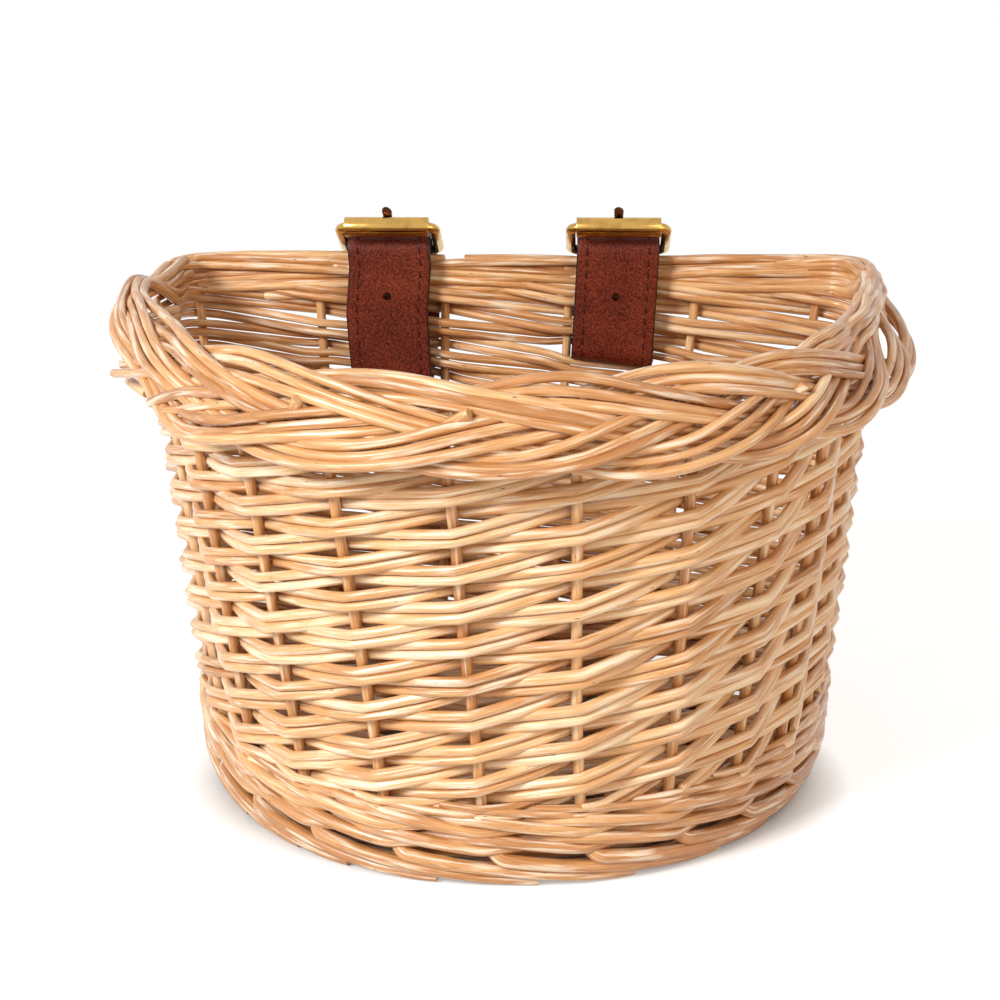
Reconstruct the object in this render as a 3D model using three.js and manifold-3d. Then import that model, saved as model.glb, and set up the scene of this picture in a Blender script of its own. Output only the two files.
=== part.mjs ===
// A small wicker basket for a bicycle's handlebar: a D-shaped wall of willow rods
// with a plaited rim, and two leather straps with roller buckles at its flat back.
// Millimetres, +Z up. The front is at -Y, the flat back at +Y.
import * as THREE from "three";
import Module from "manifold-3d";
import { mergeVertices } from "three/addons/utils/BufferGeometryUtils.js";

const wasm = await Module();
wasm.setup();

// Wall, measured on the centre line of the stakes
const rimHalfWidth = 104.5;
const rimDepth = 168;
const footHalfWidth = 92;
const footDepth = 139;
const wallHeight = 142;
const planPower = 2.23;
const cornerRadius = 10;
const backReach = 14;
const stakeShift = 3.2;
const frontStakes = 14;
const backStakes = 6;
const stakeLean = 0.1;
const stakeDiameter = 2.8;
const stakeFlare = 1;

// Clearances
const clearance = 0.3;
const weaveClearance = 0.45;

// Half the stretch of wall over which its outward direction is taken
const normalReach = 2.5;

// Foot border: two strands twisted round each other
const footRodDiameter = 5;
const footOutset = 1.5;
const footCut = 0.2;

// Wale above the foot: two strands, two rounds
const waleRodDiameter = 3.6;
const waleRounds = 2;

// Weavers: bands of two thin rods
const bandThickness = 2.4;
const frontBandHeight = 4.7;
const backBandHeight = 3.9;
const rowPitch = 5;
const tailReach = 0.15;

// Base
const hoopSize = 3.8;
const baseLift = 6;
const baseStickDiameter = 3.4;
const baseStickSpacing = 29;
const baseSticksEachSide = 2;
const matBandWidth = 6.4;
const matBandThickness = 2.2;

// Plaited rim on the front and sides
const plaitStrandWidth = 7.4;
const plaitStrandThickness = 3;
const plaitSwing = 9;
const plaitDepth = 2.85;
const plaitOutset = 6.8;
const plaitRise = 1.2;
const plaitTilt = 33;
const plaitPeriod = 3.33;
const plaitPhase = 0.4;
const plaitEndReach = 0.2;

// Back border: two strands twisted round each other
const borderRodDiameter = 5;
const borderEndReach = 0.35;

// Leather straps
const leftStrapPlace = 39;
const rightStrapPlace = 31;
const straps = [
  { side: "left", x: -leftStrapPlace, gap: 3, row: 15 },
  { side: "right", x: rightStrapPlace, gap: 1, row: 16 },
];
const strapWidth = 25;
const strapThickness = 2.4;
const slotBend = 3.2;
const slotTiltReach = 12;
const slotClearance = 0.4;
const borderClearance = 0.4;
const handlebarDiameter = 25;
const handlebarSlack = 0.5;
const handlebarGap = 1.5;
const seatLength = 5;
const seatLead = 1;
const chapeWrap = 210;
const chapeNeck = 7;
const chapeReturn = 11.5;
const billetTail = 9;
const holeDiameter = 2.6;
const spareHoleDrop = 14;

// Roller buckles
const wireDiameter = 3;
const buckleInnerWidth = 26;
const buckleLength = 22.3;
const buckleTilt = 28;
const buckleRise = 9.8;
const buckleCorner = 1.8;
const rollerDiameter = 6;
const rollerBore = 3.6;
const rollerEndPlay = 0.3;
const prongDiameter = 2.4;
const prongOverhang = 2.6;
const prongTip = 1.5;
const prongEyeWidth = 3.2;
const prongEyeWall = 1.9;
const eyeClearance = 0.1;
const eyeSideClearance = 0.6;
const prongHoleLift = 7.5;
const prongHoleSag = 2.5;
const billetTurn = 3.6;
const billetDrop = 8;

// Worked out from the above
const stakeCount = frontStakes + backStakes;
const stakeRadius = stakeDiameter / 2;
const footRadius = footRodDiameter / 2;
const footTwist = footRadius + clearance;
const hexFlat = Math.sin(Math.PI / 3);
const stationHalfTurn = Math.PI / 8;
const footHalfHeight = footTwist * Math.cos(stationHalfTurn) + footRadius * hexFlat;
const footCentre = footHalfHeight - footCut;
const footTop = footCentre + footHalfHeight;
const stakeFoot = footTop + clearance;
const waleRadius = waleRodDiameter / 2;
const waleSwing = stakeRadius + waleRadius + weaveClearance;
const waleApart = waleRadius + clearance / 2;
const waleCross = (waleSwing * waleApart) / Math.sqrt(waleSwing ** 2 - waleApart ** 2);
const waleStep = 2 * (waleCross + waleRadius) + clearance;
const waleCentre = stakeFoot + waleCross + waleRadius;
const waleTop = waleCentre + (waleRounds - 1) * waleStep + waleCross + waleRadius;
const weaveSwing = stakeRadius + bandThickness / 2 + weaveClearance;
const firstRow = waleTop + clearance + frontBandHeight / 2;
const lastRow = firstRow + rowPitch * stakeCount;
const wallSkin = weaveSwing + bandThickness / 2;
const weaveTop = lastRow + frontBandHeight / 2;
const plaitCentre = weaveTop + plaitRise;
const borderRadius = borderRodDiameter / 2;
const borderTwist = borderRadius + clearance;
const borderReach = borderTwist + borderRadius;
const borderCentre = weaveTop + clearance + borderReach;
const borderTop = borderCentre + borderReach;
const backStakeTop = borderCentre - borderReach - clearance;
const frontStakeTop = plaitCentre + clearance;

const degrees = Math.PI / 180;
const lerp = THREE.MathUtils.lerp;

// The wall's plan at height z: a flat back, two round corners and a superellipse front, as
// points from the middle of the back by the left, the front and the right, with lengths.
function planAt(z) {
  const k = z / wallHeight;
  const halfWidth = lerp(footHalfWidth, rimHalfWidth, k);
  const depth = lerp(footDepth, rimDepth, k);
  const points = [];
  const backSteps = 12;
  const arcSteps = 6;
  const frontSteps = 160;
  for (let i = 0; i < backSteps; i += 1) {
    const x = lerp(0, -(halfWidth - cornerRadius), i / backSteps);
    points.push([x, 0]);
  }
  const cornerX = halfWidth - cornerRadius;
  for (let i = 0; i < arcSteps; i += 1) {
    const a = Math.PI / 2 + (Math.PI / 2) * (i / arcSteps);
    points.push([-cornerX + cornerRadius * Math.cos(a), cornerRadius * (Math.sin(a) - 1)]);
  }
  for (let i = 0; i <= frontSteps; i += 1) {
    const t = Math.PI * (1 - i / frontSteps);
    const c = Math.cos(t);
    const s = Math.sin(t);
    const x = halfWidth * Math.sign(c) * Math.abs(c) ** (2 / planPower);
    const y = -cornerRadius - (depth - cornerRadius) * Math.abs(s) ** (2 / planPower);
    points.push([x, y]);
  }
  for (let i = 1; i <= arcSteps; i += 1) {
    const a = (Math.PI / 2) * (i / arcSteps);
    points.push([cornerX + cornerRadius * Math.cos(a), cornerRadius * (Math.sin(a) - 1)]);
  }
  for (let i = 1; i <= backSteps; i += 1) {
    const x = lerp(halfWidth - cornerRadius, 0, i / backSteps);
    points.push([x, 0]);
  }
  const lengths = [0];
  for (let i = 1; i < points.length; i += 1) {
    const step = Math.hypot(points[i][0] - points[i - 1][0], points[i][1] - points[i - 1][1]);
    lengths.push(lengths[i - 1] + step);
  }
  return { points, lengths, halfWidth, total: lengths[lengths.length - 1] };
}

const planCache = new Map();

function cachedPlan(z) {
  const key = z.toFixed(4);
  if (!planCache.has(key)) {
    planCache.set(key, planAt(z));
  }
  return planCache.get(key);
}

// Length along the plan of place u, in stake pitches: stakes 0 to 13 run round the front
// from the left, and stakes 14 to 19 along the back from the right.
function lengthAt(plan, u) {
  const quarterArc = (Math.PI / 4) * cornerRadius;
  const backHalf = plan.halfWidth - cornerRadius + quarterArc + backReach;
  const frontRun = plan.total - 2 * backHalf;
  const frontPitch = frontRun / frontStakes;
  const backPitch = (2 * backHalf) / backStakes;
  const turn = Math.floor((u + 0.5) / stakeCount);
  const w = u + 0.5 - turn * stakeCount;
  const along = w <= frontStakes ? w * frontPitch : frontRun + (w - frontStakes) * backPitch;
  return (backHalf + along + stakeShift) % plan.total;
}

// Point of the wall's surface at place u and height z, moved outward by offset.
function wallPoint(u, z, offset) {
  const plan = cachedPlan(z);
  const leaned = u + stakeLean * (1 - z / wallHeight);
  const s = lengthAt(plan, leaned);
  let low = 0;
  let high = plan.lengths.length - 1;
  while (high - low > 1) {
    const middle = (low + high) >> 1;
    if (plan.lengths[middle] <= s) {
      low = middle;
    } else {
      high = middle;
    }
  }
  const [x0, y0] = plan.points[low];
  const [x1, y1] = plan.points[high];
  const span = plan.lengths[high] - plan.lengths[low];
  const k = (s - plan.lengths[low]) / span;
  const [nx, ny] = smoothNormal(plan, s);
  return new THREE.Vector3(lerp(x0, x1, k) + nx * offset, lerp(y0, y1, k) + ny * offset, z);
}

// Outward normal of the plan at length s, taken over a short stretch either side.
function smoothNormal(plan, s) {
  const [ax, ay] = planPoint(plan, s - normalReach);
  const [bx, by] = planPoint(plan, s + normalReach);
  const span = Math.hypot(bx - ax, by - ay);
  return [(by - ay) / span, -(bx - ax) / span];
}

function planPoint(plan, s) {
  const wrapped = ((s % plan.total) + plan.total) % plan.total;
  let i = 1;
  while (i < plan.lengths.length - 1 && plan.lengths[i] < wrapped) {
    i += 1;
  }
  const k = (wrapped - plan.lengths[i - 1]) / (plan.lengths[i] - plan.lengths[i - 1]);
  const [x0, y0] = plan.points[i - 1];
  const [x1, y1] = plan.points[i];
  return [lerp(x0, x1, k), lerp(y0, y1, k)];
}

// Places from one end of a run to the other: one for each step, more at the back corners.
function wallPlaces(from, to, step) {
  const places = [from, to];
  for (let u = Math.ceil(from / step + 0.01) * step; u < to - 0.01; u += step) {
    places.push(u);
  }
  const cornerReach = backReach / backPitchAt(wallHeight / 2);
  const corners = [frontStakes - 0.5 + cornerReach, stakeCount - 0.5 - cornerReach];
  for (const corner of corners) {
    for (const shift of [-0.36, -0.18, 0, 0.18, 0.36]) {
      for (let u = corner + shift - 2 * stakeCount; u < to; u += stakeCount) {
        if (u > from && places.every((place) => Math.abs(place - u) > 0.09)) {
          places.push(u);
        }
      }
    }
  }
  return places.sort((p, q) => p - q);
}

// A closed body through rings of points; an open one gets end caps.
function skin(rings, closed) {
  const sides = rings[0].length;
  const positions = [];
  const indices = [];
  for (const ring of rings) {
    for (const p of ring) {
      positions.push(p.x, p.y, p.z);
    }
  }
  const last = closed ? rings.length : rings.length - 1;
  for (let i = 0; i < last; i += 1) {
    const a = i * sides;
    const b = ((i + 1) % rings.length) * sides;
    for (let j = 0; j < sides; j += 1) {
      const k = (j + 1) % sides;
      indices.push(a + j, b + j, b + k, a + j, b + k, a + k);
    }
  }
  if (!closed) {
    const end = (rings.length - 1) * sides;
    for (let j = 1; j < sides - 1; j += 1) {
      indices.push(0, j, j + 1, end, end + j + 1, end + j);
    }
  }
  const geometry = new THREE.BufferGeometry();
  geometry.setAttribute("position", new THREE.Float32BufferAttribute(positions, 3));
  geometry.setIndex(indices);
  return faceOutward(geometry);
}

// Turns every face over when the signed volume is negative.
function faceOutward(geometry) {
  const p = geometry.attributes.position;
  const index = geometry.index.array;
  const a = new THREE.Vector3();
  const b = new THREE.Vector3();
  const c = new THREE.Vector3();
  let volume = 0;
  for (let i = 0; i < index.length; i += 3) {
    a.fromBufferAttribute(p, index[i]);
    b.fromBufferAttribute(p, index[i + 1]);
    c.fromBufferAttribute(p, index[i + 2]);
    volume += a.dot(b.cross(c));
  }
  if (volume < 0) {
    const flipped = [];
    for (let i = 0; i < index.length; i += 3) {
      flipped.push(index[i], index[i + 2], index[i + 1]);
    }
    geometry.setIndex(flipped);
  }
  return geometry;
}

// Rings of a round rod along a path; up sets where each ring's first corner points.
function rodRings(path, radius, sides, up, closed, turn = 0) {
  return path.map((point, i) => {
    const before = closed ? path[(i - 1 + path.length) % path.length] : path[Math.max(i - 1, 0)];
    const after = closed ? path[(i + 1) % path.length] : path[Math.min(i + 1, path.length - 1)];
    const tangent = after.clone().sub(before).normalize();
    const a = up.clone().addScaledVector(tangent, -up.dot(tangent)).normalize();
    const b = tangent.clone().cross(a);
    const ring = [];
    for (let j = 0; j < sides; j += 1) {
      const angle = (2 * Math.PI * j) / sides + turn;
      const corner = point.clone().addScaledVector(a, radius * Math.cos(angle));
      ring.push(corner.addScaledVector(b, radius * Math.sin(angle)));
    }
    return ring;
  });
}

function toSolid(geometry) {
  const bare = geometry.clone();
  bare.deleteAttribute("normal");
  bare.deleteAttribute("uv");
  const merged = mergeVertices(bare, 1e-4);
  const vertProperties = new Float32Array(merged.attributes.position.array);
  const triVerts = new Uint32Array(merged.index.array);
  return new wasm.Manifold(new wasm.Mesh({ numProp: 3, vertProperties, triVerts }));
}

function fromSolid(solid) {
  const mesh = solid.getMesh();
  const geometry = new THREE.BufferGeometry();
  geometry.setAttribute("position", new THREE.Float32BufferAttribute(mesh.vertProperties, 3));
  geometry.setIndex(Array.from(mesh.triVerts));
  return geometry;
}

const basket = new THREE.Group();
basket.name = "bicycle_basket";

function addPiece(name, geometry, look) {
  const mesh = new THREE.Mesh(geometry, new THREE.MeshStandardMaterial(look));
  mesh.name = name;
  basket.add(mesh);
  return mesh;
}

const willowTones = [0xe8bc85, 0xf0cc98, 0xdfae76, 0xe6b88a, 0xedc590];
const leather = { color: 0x7a3526, roughness: 0.55, metalness: 0 };
const brass = { color: 0xc9962f, roughness: 0.25, metalness: 1 };

function willow(i) {
  return { color: willowTones[i % willowTones.length], roughness: 0.5, metalness: 0 };
}

function numbered(name, i) {
  return `${name}_${String(i + 1).padStart(2, "0")}`;
}

// Stakes
function addStakes() {
  const steps = 2;
  for (let i = 0; i < stakeCount; i += 1) {
    const top = i < frontStakes ? frontStakeTop : backStakeTop;
    const path = [];
    for (let j = 0; j <= steps; j += 1) {
      path.push(wallPoint(i, lerp(stakeFoot, weaveTop - stakeRadius, j / steps), 0));
    }
    path.push(wallPoint(i, top, i < frontStakes ? stakeFlare : 0));
    const out = wallPoint(i, stakeFoot, 1).sub(path[0]);
    addPiece(numbered("stake", i), skin(rodRings(path, stakeRadius, 6, out, false), false), willow(i));
  }
}

// Place of the middle of the gap between two back stakes that a strap goes through
function gapMiddle(strap) {
  return frontStakes + strap.gap + 0.5;
}

// Height of the line between two rows that a strap passes, at place u on the back
function slotHeight(strap, u) {
  return firstRow + rowPitch * (strap.row + u - gapMiddle(strap));
}

// How far a row at height z moves up or down to let a strap through
function slotShift(u, z) {
  const strap = straps.find((each) => Math.abs(u - gapMiddle(each)) <= 0.5);
  if (!strap) {
    return 0;
  }
  const halfOpening = (strapThickness + 2 * slotClearance - (rowPitch - backBandHeight)) / 2;
  const away = (z - slotHeight(strap, u)) / rowPitch;
  return Math.sign(away) * halfOpening * Math.max(0, 1.25 - Math.abs(away) / 2);
}

function bandRing(u, z, swing, height, thickness) {
  const low = z - height / 2;
  const high = z + height / 2;
  const inner = swing - thickness / 2;
  const outer = swing + thickness / 2;
  const corners = [[low, inner], [low, outer], [high, outer], [high, inner]];
  return corners.map(([edge, side]) => wallPoint(u, edge, side));
}

// Weavers: each starts inside its stake and climbs one row per stake for one turn.
function addWeavers() {
  const firstBack = frontStakes - 0.5;
  for (let k = 0; k < stakeCount; k += 1) {
    const rings = wallPlaces(k - tailReach, k + stakeCount + tailReach, 1).map((u) => {
      const climbed = THREE.MathUtils.clamp(u - k, 0, stakeCount);
      const local = ((u % stakeCount) + stakeCount) % stakeCount;
      const atBack = local > firstBack && local < stakeCount - 0.5;
      const height = atBack ? backBandHeight : frontBandHeight;
      const z = firstRow + rowPitch * climbed;
      const low = Math.floor(climbed);
      const swingLow = low % 2 === 0 ? -weaveSwing : weaveSwing;
      const swing = lerp(swingLow, -swingLow, climbed - low);
      return bandRing(u, z + slotShift(local, z), swing, height, bandThickness);
    });
    addPiece(numbered("weaver", k), skin(rings, false), willow(k + 2));
  }
}

// Wale: two strands twisted round the stakes, stepping up one round at stake 0.
function addWale() {
  const start = 0.6;
  const end = waleRounds * stakeCount - start;
  for (const [name, phase] of [["wale_a", 0], ["wale_b", Math.PI]]) {
    const path = [];
    for (const u of wallPlaces(start, end, 0.5)) {
      const round = Math.floor(u / stakeCount + 0.5 / stakeCount);
      const inStep = Math.abs(u - stakeCount) <= 0.5;
      const climbed = inStep ? u - stakeCount + 0.5 : round;
      const z = waleCentre + waleStep * climbed;
      const point = wallPoint(u, z, waleSwing * Math.cos(Math.PI * u + phase));
      point.z += waleCross * Math.sin(Math.PI * u + phase);
      path.push(point);
    }
    const up = new THREE.Vector3(0, 0, 1);
    const rings = rodRings(path, waleRadius, 6, up, false, Math.PI / 6);
    addPiece(name, skin(rings, false), willow(phase > 0 ? 1 : 3));
  }
}

// Two strands twisted round a line that follows the wall, cut flat at the floor.
function twistedStrand({ from, to, closed, centre, outset, twist, radius, direction }, phase) {
  const perPitch = 4;
  const steps = Math.round((to - from) * perPitch);
  const rings = [];
  const count = closed ? steps : steps + 1;
  for (let i = 0; i < count; i += 1) {
    const u = from + (i / steps) * (to - from);
    const angle = direction * (Math.PI * u + stationHalfTurn) + phase;
    const middle = wallPoint(u, centre, outset + twist * Math.cos(angle));
    const out = wallPoint(u, centre, outset + twist * Math.cos(angle) + 1).sub(middle);
    middle.z += twist * Math.sin(angle);
    const ring = [];
    for (let j = 0; j < 6; j += 1) {
      const a = (j * Math.PI) / 3;
      const p = middle.clone().addScaledVector(out, radius * Math.cos(a));
      p.z = Math.max(0, p.z + radius * Math.sin(a));
      ring.push(p);
    }
    rings.push(ring);
  }
  return skin(rings, closed);
}

function addFootBorder() {
  const rope = {
    from: 0,
    to: stakeCount,
    closed: true,
    centre: footCentre,
    outset: footOutset,
    twist: footTwist,
    radius: footRadius,
    direction: -1,
  };
  ["foot_border_a", "foot_border_b"].forEach((name, i) => {
    addPiece(name, twistedStrand(rope, Math.PI / 2 + i * Math.PI), willow(i + 1));
  });
}

function addBackBorder() {
  const rope = {
    from: frontStakes - 0.5 + borderEndReach,
    to: stakeCount - 0.5 - borderEndReach,
    closed: false,
    centre: borderCentre,
    outset: 0,
    twist: borderTwist,
    radius: borderRadius,
    direction: 1,
  };
  ["back_border_a", "back_border_b"].forEach((name, i) => {
    const phase = -Math.PI / 2 - stationHalfTurn + i * Math.PI;
    addPiece(name, twistedStrand(rope, phase), willow(i + 3));
  });
}

// Half width of the base hoop's centre line at depth y
function baseHalfWidth(y, inset) {
  const plan = cachedPlan(baseLift);
  let half = 0;
  for (let s = 0; s < plan.total; s += 1) {
    const [x, py] = planPoint(plan, s);
    const [nx, ny] = smoothNormal(plan, s);
    if (Math.abs(py - ny * inset - y) < 1.2) {
      half = Math.max(half, Math.abs(x - nx * inset));
    }
  }
  return half;
}

// Base: sticks front to back with a cross stick, and a mat woven over and under them
function addBase() {
  const hoopInset = footTwist + footRadius - footOutset + clearance + hoopSize / 2;
  const stickRadius = baseStickDiameter / 2;
  const matSwing = stickRadius + matBandThickness / 2 + clearance;
  const matPitch = matBandWidth + 2 * clearance;
  const depthHere = lerp(footDepth, rimDepth, baseLift / wallHeight);
  const hoopRings = [];
  const hoopSteps = 48;
  for (let i = 0; i < hoopSteps; i += 1) {
    const u = (i * stakeCount) / hoopSteps;
    const half = hoopSize / 2;
    const inner = wallPoint(u, baseLift, -hoopInset - half);
    const outer = wallPoint(u, baseLift, -hoopInset + half);
    hoopRings.push([
      new THREE.Vector3(inner.x, inner.y, baseLift - half),
      new THREE.Vector3(outer.x, outer.y, baseLift - half),
      new THREE.Vector3(outer.x, outer.y, baseLift + half),
      new THREE.Vector3(inner.x, inner.y, baseLift + half),
    ]);
  }
  let mat = toSolid(skin(hoopRings, true));
  const sticks = [];
  for (let i = -baseSticksEachSide; i <= baseSticksEachSide; i += 1) {
    sticks.push({ x: i * baseStickSpacing, from: null, to: null });
  }
  const firstMat = -hoopInset - hoopSize / 2 - clearance - matBandWidth / 2;
  const rows = Math.floor((depthHere - 2 * hoopInset - hoopSize) / matPitch);
  const crossRow = Math.floor(rows / 2);
  for (let r = 0; r < rows; r += 1) {
    const y = firstMat - r * matPitch;
    const nearEdge = baseHalfWidth(y + matBandWidth / 2, hoopInset);
    const farEdge = baseHalfWidth(y - matBandWidth / 2, hoopInset);
    const half = Math.min(nearEdge, farEdge);
    const crossed = sticks.filter((stick) => Math.abs(stick.x) < half - 2 * matBandWidth);
    for (const stick of crossed) {
      stick.from = stick.from ?? y;
      stick.to = y;
    }
    if (r === crossRow || crossed.length === 0) {
      continue;
    }
    const sign = r % 2 === 0 ? 1 : -1;
    const passes = crossed.map((stick) => [stick.x, sticks.indexOf(stick) % 2 ? -sign : sign]);
    const stations = [[-half, 0], ...passes, [half, 0]];
    const rings = stations.map(([x, side]) => {
      const z = baseLift + side * matSwing;
      const low = z - matBandThickness / 2;
      const high = z + matBandThickness / 2;
      const near = y - matBandWidth / 2;
      const far = y + matBandWidth / 2;
      return [
        new THREE.Vector3(x, near, low),
        new THREE.Vector3(x, far, low),
        new THREE.Vector3(x, far, high),
        new THREE.Vector3(x, near, high),
      ];
    });
    mat = mat.add(toSolid(skin(rings, false)));
  }
  addPiece("base_mat", fromSolid(mat), willow(0));
  const up = new THREE.Vector3(0, 0, 1);
  let slath = null;
  for (const stick of sticks) {
    const ends = [stick.from + matPitch / 2 - clearance, stick.to - matPitch / 2 + clearance];
    const path = ends.map((y) => new THREE.Vector3(stick.x, y, baseLift));
    const rod = toSolid(skin(rodRings(path, stickRadius, 6, up, false), false));
    slath = slath ? slath.add(rod) : rod;
  }
  const crossY = firstMat - crossRow * matPitch;
  const crossHalf = baseHalfWidth(crossY, hoopInset) - hoopSize;
  const crossPath = [-crossHalf, crossHalf].map((x) => new THREE.Vector3(x, crossY, baseLift));
  slath = slath.add(toSolid(skin(rodRings(crossPath, stickRadius, 6, up, false), false)));
  addPiece("base_sticks", fromSolid(slath), willow(4));
}

// Plaited rim: three flat strands of a braid that leans outward over the wall
function addPlait() {
  const tilt = plaitTilt * degrees;
  const from = -0.5 - plaitEndReach;
  const to = frontStakes - 0.5 + plaitEndReach;
  const stepsPerPeriod = 14;
  const steps = Math.ceil(((to - from) / plaitPeriod) * stepsPerPeriod);
  const place = (u, phase) => {
    const angle = (2 * Math.PI * u) / plaitPeriod + phase;
    const across = plaitSwing * Math.sin(angle);
    const lift = -plaitDepth * Math.sin(2 * angle);
    const outward = plaitOutset + across * Math.sin(tilt) + lift * Math.cos(tilt);
    const z = plaitCentre - across * Math.cos(tilt) + lift * Math.sin(tilt);
    return wallPoint(u, z, outward);
  };
  ["plait_a", "plait_b", "plait_c"].forEach((name, n) => {
    const phase = plaitPhase + (n * 2 * Math.PI) / 3;
    const rings = [];
    for (let i = 0; i <= steps; i += 1) {
      const u = lerp(from, to, i / steps);
      const middle = place(u, phase);
      const ahead = place(u + 0.05, phase);
      const behind = place(u - 0.05, phase);
      const tangent = ahead.sub(behind).normalize();
      const out = wallPoint(u, middle.z, 1).sub(wallPoint(u, middle.z, 0)).setZ(0).normalize();
      const normal = out.multiplyScalar(Math.cos(tilt)).setZ(Math.sin(tilt));
      const wide = normal.clone().cross(tangent).normalize();
      const thick = tangent.clone().cross(wide);
      const w = plaitStrandWidth / 2;
      const t = plaitStrandThickness / 2;
      const corners = [[w, 0], [w * 0.6, t], [-w * 0.6, t], [-w, 0], [-w * 0.6, -t], [w * 0.6, -t]];
      rings.push(corners.map(([a, b]) => middle.clone().addScaledVector(wide, a).addScaledVector(thick, b)));
    }
    addPiece(name, skin(rings, false), willow(n));
  });
}

// Places in the plane of a strap: y toward the back, z up
const strapRun = -(Math.max(borderReach, wallSkin) + borderClearance + strapThickness / 2);
const rollerRadius = rollerDiameter / 2;
const rollerY = strapRun - strapThickness / 2 - clearance - rollerRadius;
const rollerZ = borderTop + buckleRise;
const heelY = rollerY + buckleLength * Math.cos(buckleTilt * degrees);
const heelZ = rollerZ - buckleLength * Math.sin(buckleTilt * degrees);
const wireRadius = wireDiameter / 2;
const chapeRadius = wireRadius + clearance + strapThickness / 2;
const billetRadius = chapeRadius + strapThickness + clearance;
const barRadius = handlebarDiameter / 2 + handlebarSlack + strapThickness / 2;
const barY = wallSkin + handlebarGap + handlebarDiameter / 2;
const prongRadius = prongDiameter / 2;
const prongClear = rollerRadius + clearance + prongRadius;
const prongAngle = Math.PI - buckleTilt * degrees - Math.asin(prongClear / buckleLength);

function arc(y, z, radius, from, to, steps) {
  const points = [];
  for (let i = 0; i <= steps; i += 1) {
    const a = lerp(from, to, i / steps);
    points.push([y + radius * Math.cos(a), z + radius * Math.sin(a)]);
  }
  return points;
}

// Angle of the line that touches two circles on their outer side
function tangentAngle(y1, z1, r1, y2, z2, r2) {
  const toward = Math.atan2(z2 - z1, y2 - y1);
  return toward + Math.acos((r1 - r2) / Math.hypot(y2 - y1, z2 - z1));
}

// Centre line of a strap: tip, over the heel bar, under the roller, down the inside,
// out between two rows, round the handlebar's space, and round the heel bar again.
function strapPath(slotZ, seatZ) {
  const barZ = seatZ + barRadius;
  const turnY = strapRun + billetTurn;
  const turnZ = rollerZ - billetDrop;
  const overAngle = tangentAngle(turnY, turnZ, billetTurn, heelY, heelZ, billetRadius);
  const loopAngle = tangentAngle(heelY, heelZ, chapeRadius, barY, barZ, barRadius);
  const tailRadius = barRadius + strapThickness + clearance;
  const tailAngle = loopAngle - billetTail / tailRadius;
  const away = [Math.cos(loopAngle), Math.sin(loopAngle)];
  const along = [Math.sin(loopAngle), -Math.cos(loopAngle)];
  const layer = chapeRadius - strapThickness - clearance;
  const back = (s) => [heelY + away[0] * layer + along[0] * s, heelZ + away[1] * layer + along[1] * s];
  const neckEnd = loopAngle + chapeWrap * degrees;
  const leave = new THREE.Vector2(Math.cos(neckEnd), Math.sin(neckEnd)).multiplyScalar(chapeRadius);
  leave.add(new THREE.Vector2(heelY, heelZ));
  const leaveAlong = new THREE.Vector2(-Math.sin(neckEnd), Math.cos(neckEnd));
  const meet = new THREE.Vector2(...back(chapeNeck));
  const meetAlong = new THREE.Vector2(...along);
  const pull = chapeNeck / 3;
  const neck = new THREE.CubicBezierCurve(
    leave,
    leave.clone().addScaledVector(leaveAlong, pull),
    meet.clone().addScaledVector(meetAlong, -pull),
    meet,
  );
  return {
    overAngle,
    points: [
      ...arc(barY, barZ, tailRadius, tailAngle, loopAngle, 2),
      ...arc(heelY, heelZ, billetRadius, loopAngle, overAngle, 4),
      ...arc(turnY, turnZ, billetTurn, overAngle, Math.PI, 6),
      ...arc(strapRun + slotBend, slotZ + slotBend, slotBend, Math.PI, 1.5 * Math.PI, 4),
      [wallSkin + clearance, slotZ],
      [barY - seatLength - seatLead, seatZ],
      [barY - seatLength, seatZ],
      [barY - seatLead, seatZ],
      ...arc(barY, barZ, barRadius, -0.5 * Math.PI, loopAngle, 12),
      ...arc(heelY, heelZ, chapeRadius, loopAngle, neckEnd, 8),
      ...neck.getPoints(4).slice(1).map((p) => [p.x, p.y]),
      back(chapeReturn),
    ],
  };
}

function strapRings(path, x, slotZ, slotTilt) {
  const inSlot = path.findIndex(([y, z]) => Math.abs(z - slotZ) < 0.01 && y > strapRun);
  const lengths = [0];
  for (let i = 1; i < path.length; i += 1) {
    lengths.push(lengths[i - 1] + Math.hypot(path[i][0] - path[i - 1][0], path[i][1] - path[i - 1][1]));
  }
  const flatFrom = lengths[inSlot] - slotBend;
  const flatTo = lengths[inSlot + 1];
  return path.map(([y, z], i) => {
    const [by, bz] = path[Math.max(i - 1, 0)];
    const [ay, az] = path[Math.min(i + 1, path.length - 1)];
    const span = Math.hypot(ay - by, az - bz);
    const ny = -(az - bz) / span;
    const nz = (ay - by) / span;
    const away = Math.max(flatFrom - lengths[i], lengths[i] - flatTo, 0);
    const reach = lengths[i] > flatTo ? lengths[inSlot + 2] - flatTo : slotTiltReach;
    const tilt = slotTilt * Math.max(0, 1 - away / reach);
    const h = strapThickness / 2;
    const w = strapWidth / 2;
    const across = new THREE.Vector3(Math.cos(tilt), 0, Math.sin(tilt));
    const out = new THREE.Vector3(-nz * Math.sin(tilt), ny, nz * Math.cos(tilt));
    return [[-w, -h], [w, -h], [w, h], [-w, h]].map(([a, b]) => {
      return new THREE.Vector3(x, y, z).addScaledVector(across, a).addScaledVector(out, b);
    });
  });
}

// A round hole from front to back through the strap's inside run
function strapHole(x, z) {
  const reach = strapThickness;
  const geometry = new THREE.CylinderGeometry(holeDiameter / 2, holeDiameter / 2, 2 * reach, 10);
  geometry.translate(x, strapRun, z);
  return toSolid(geometry);
}

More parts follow.
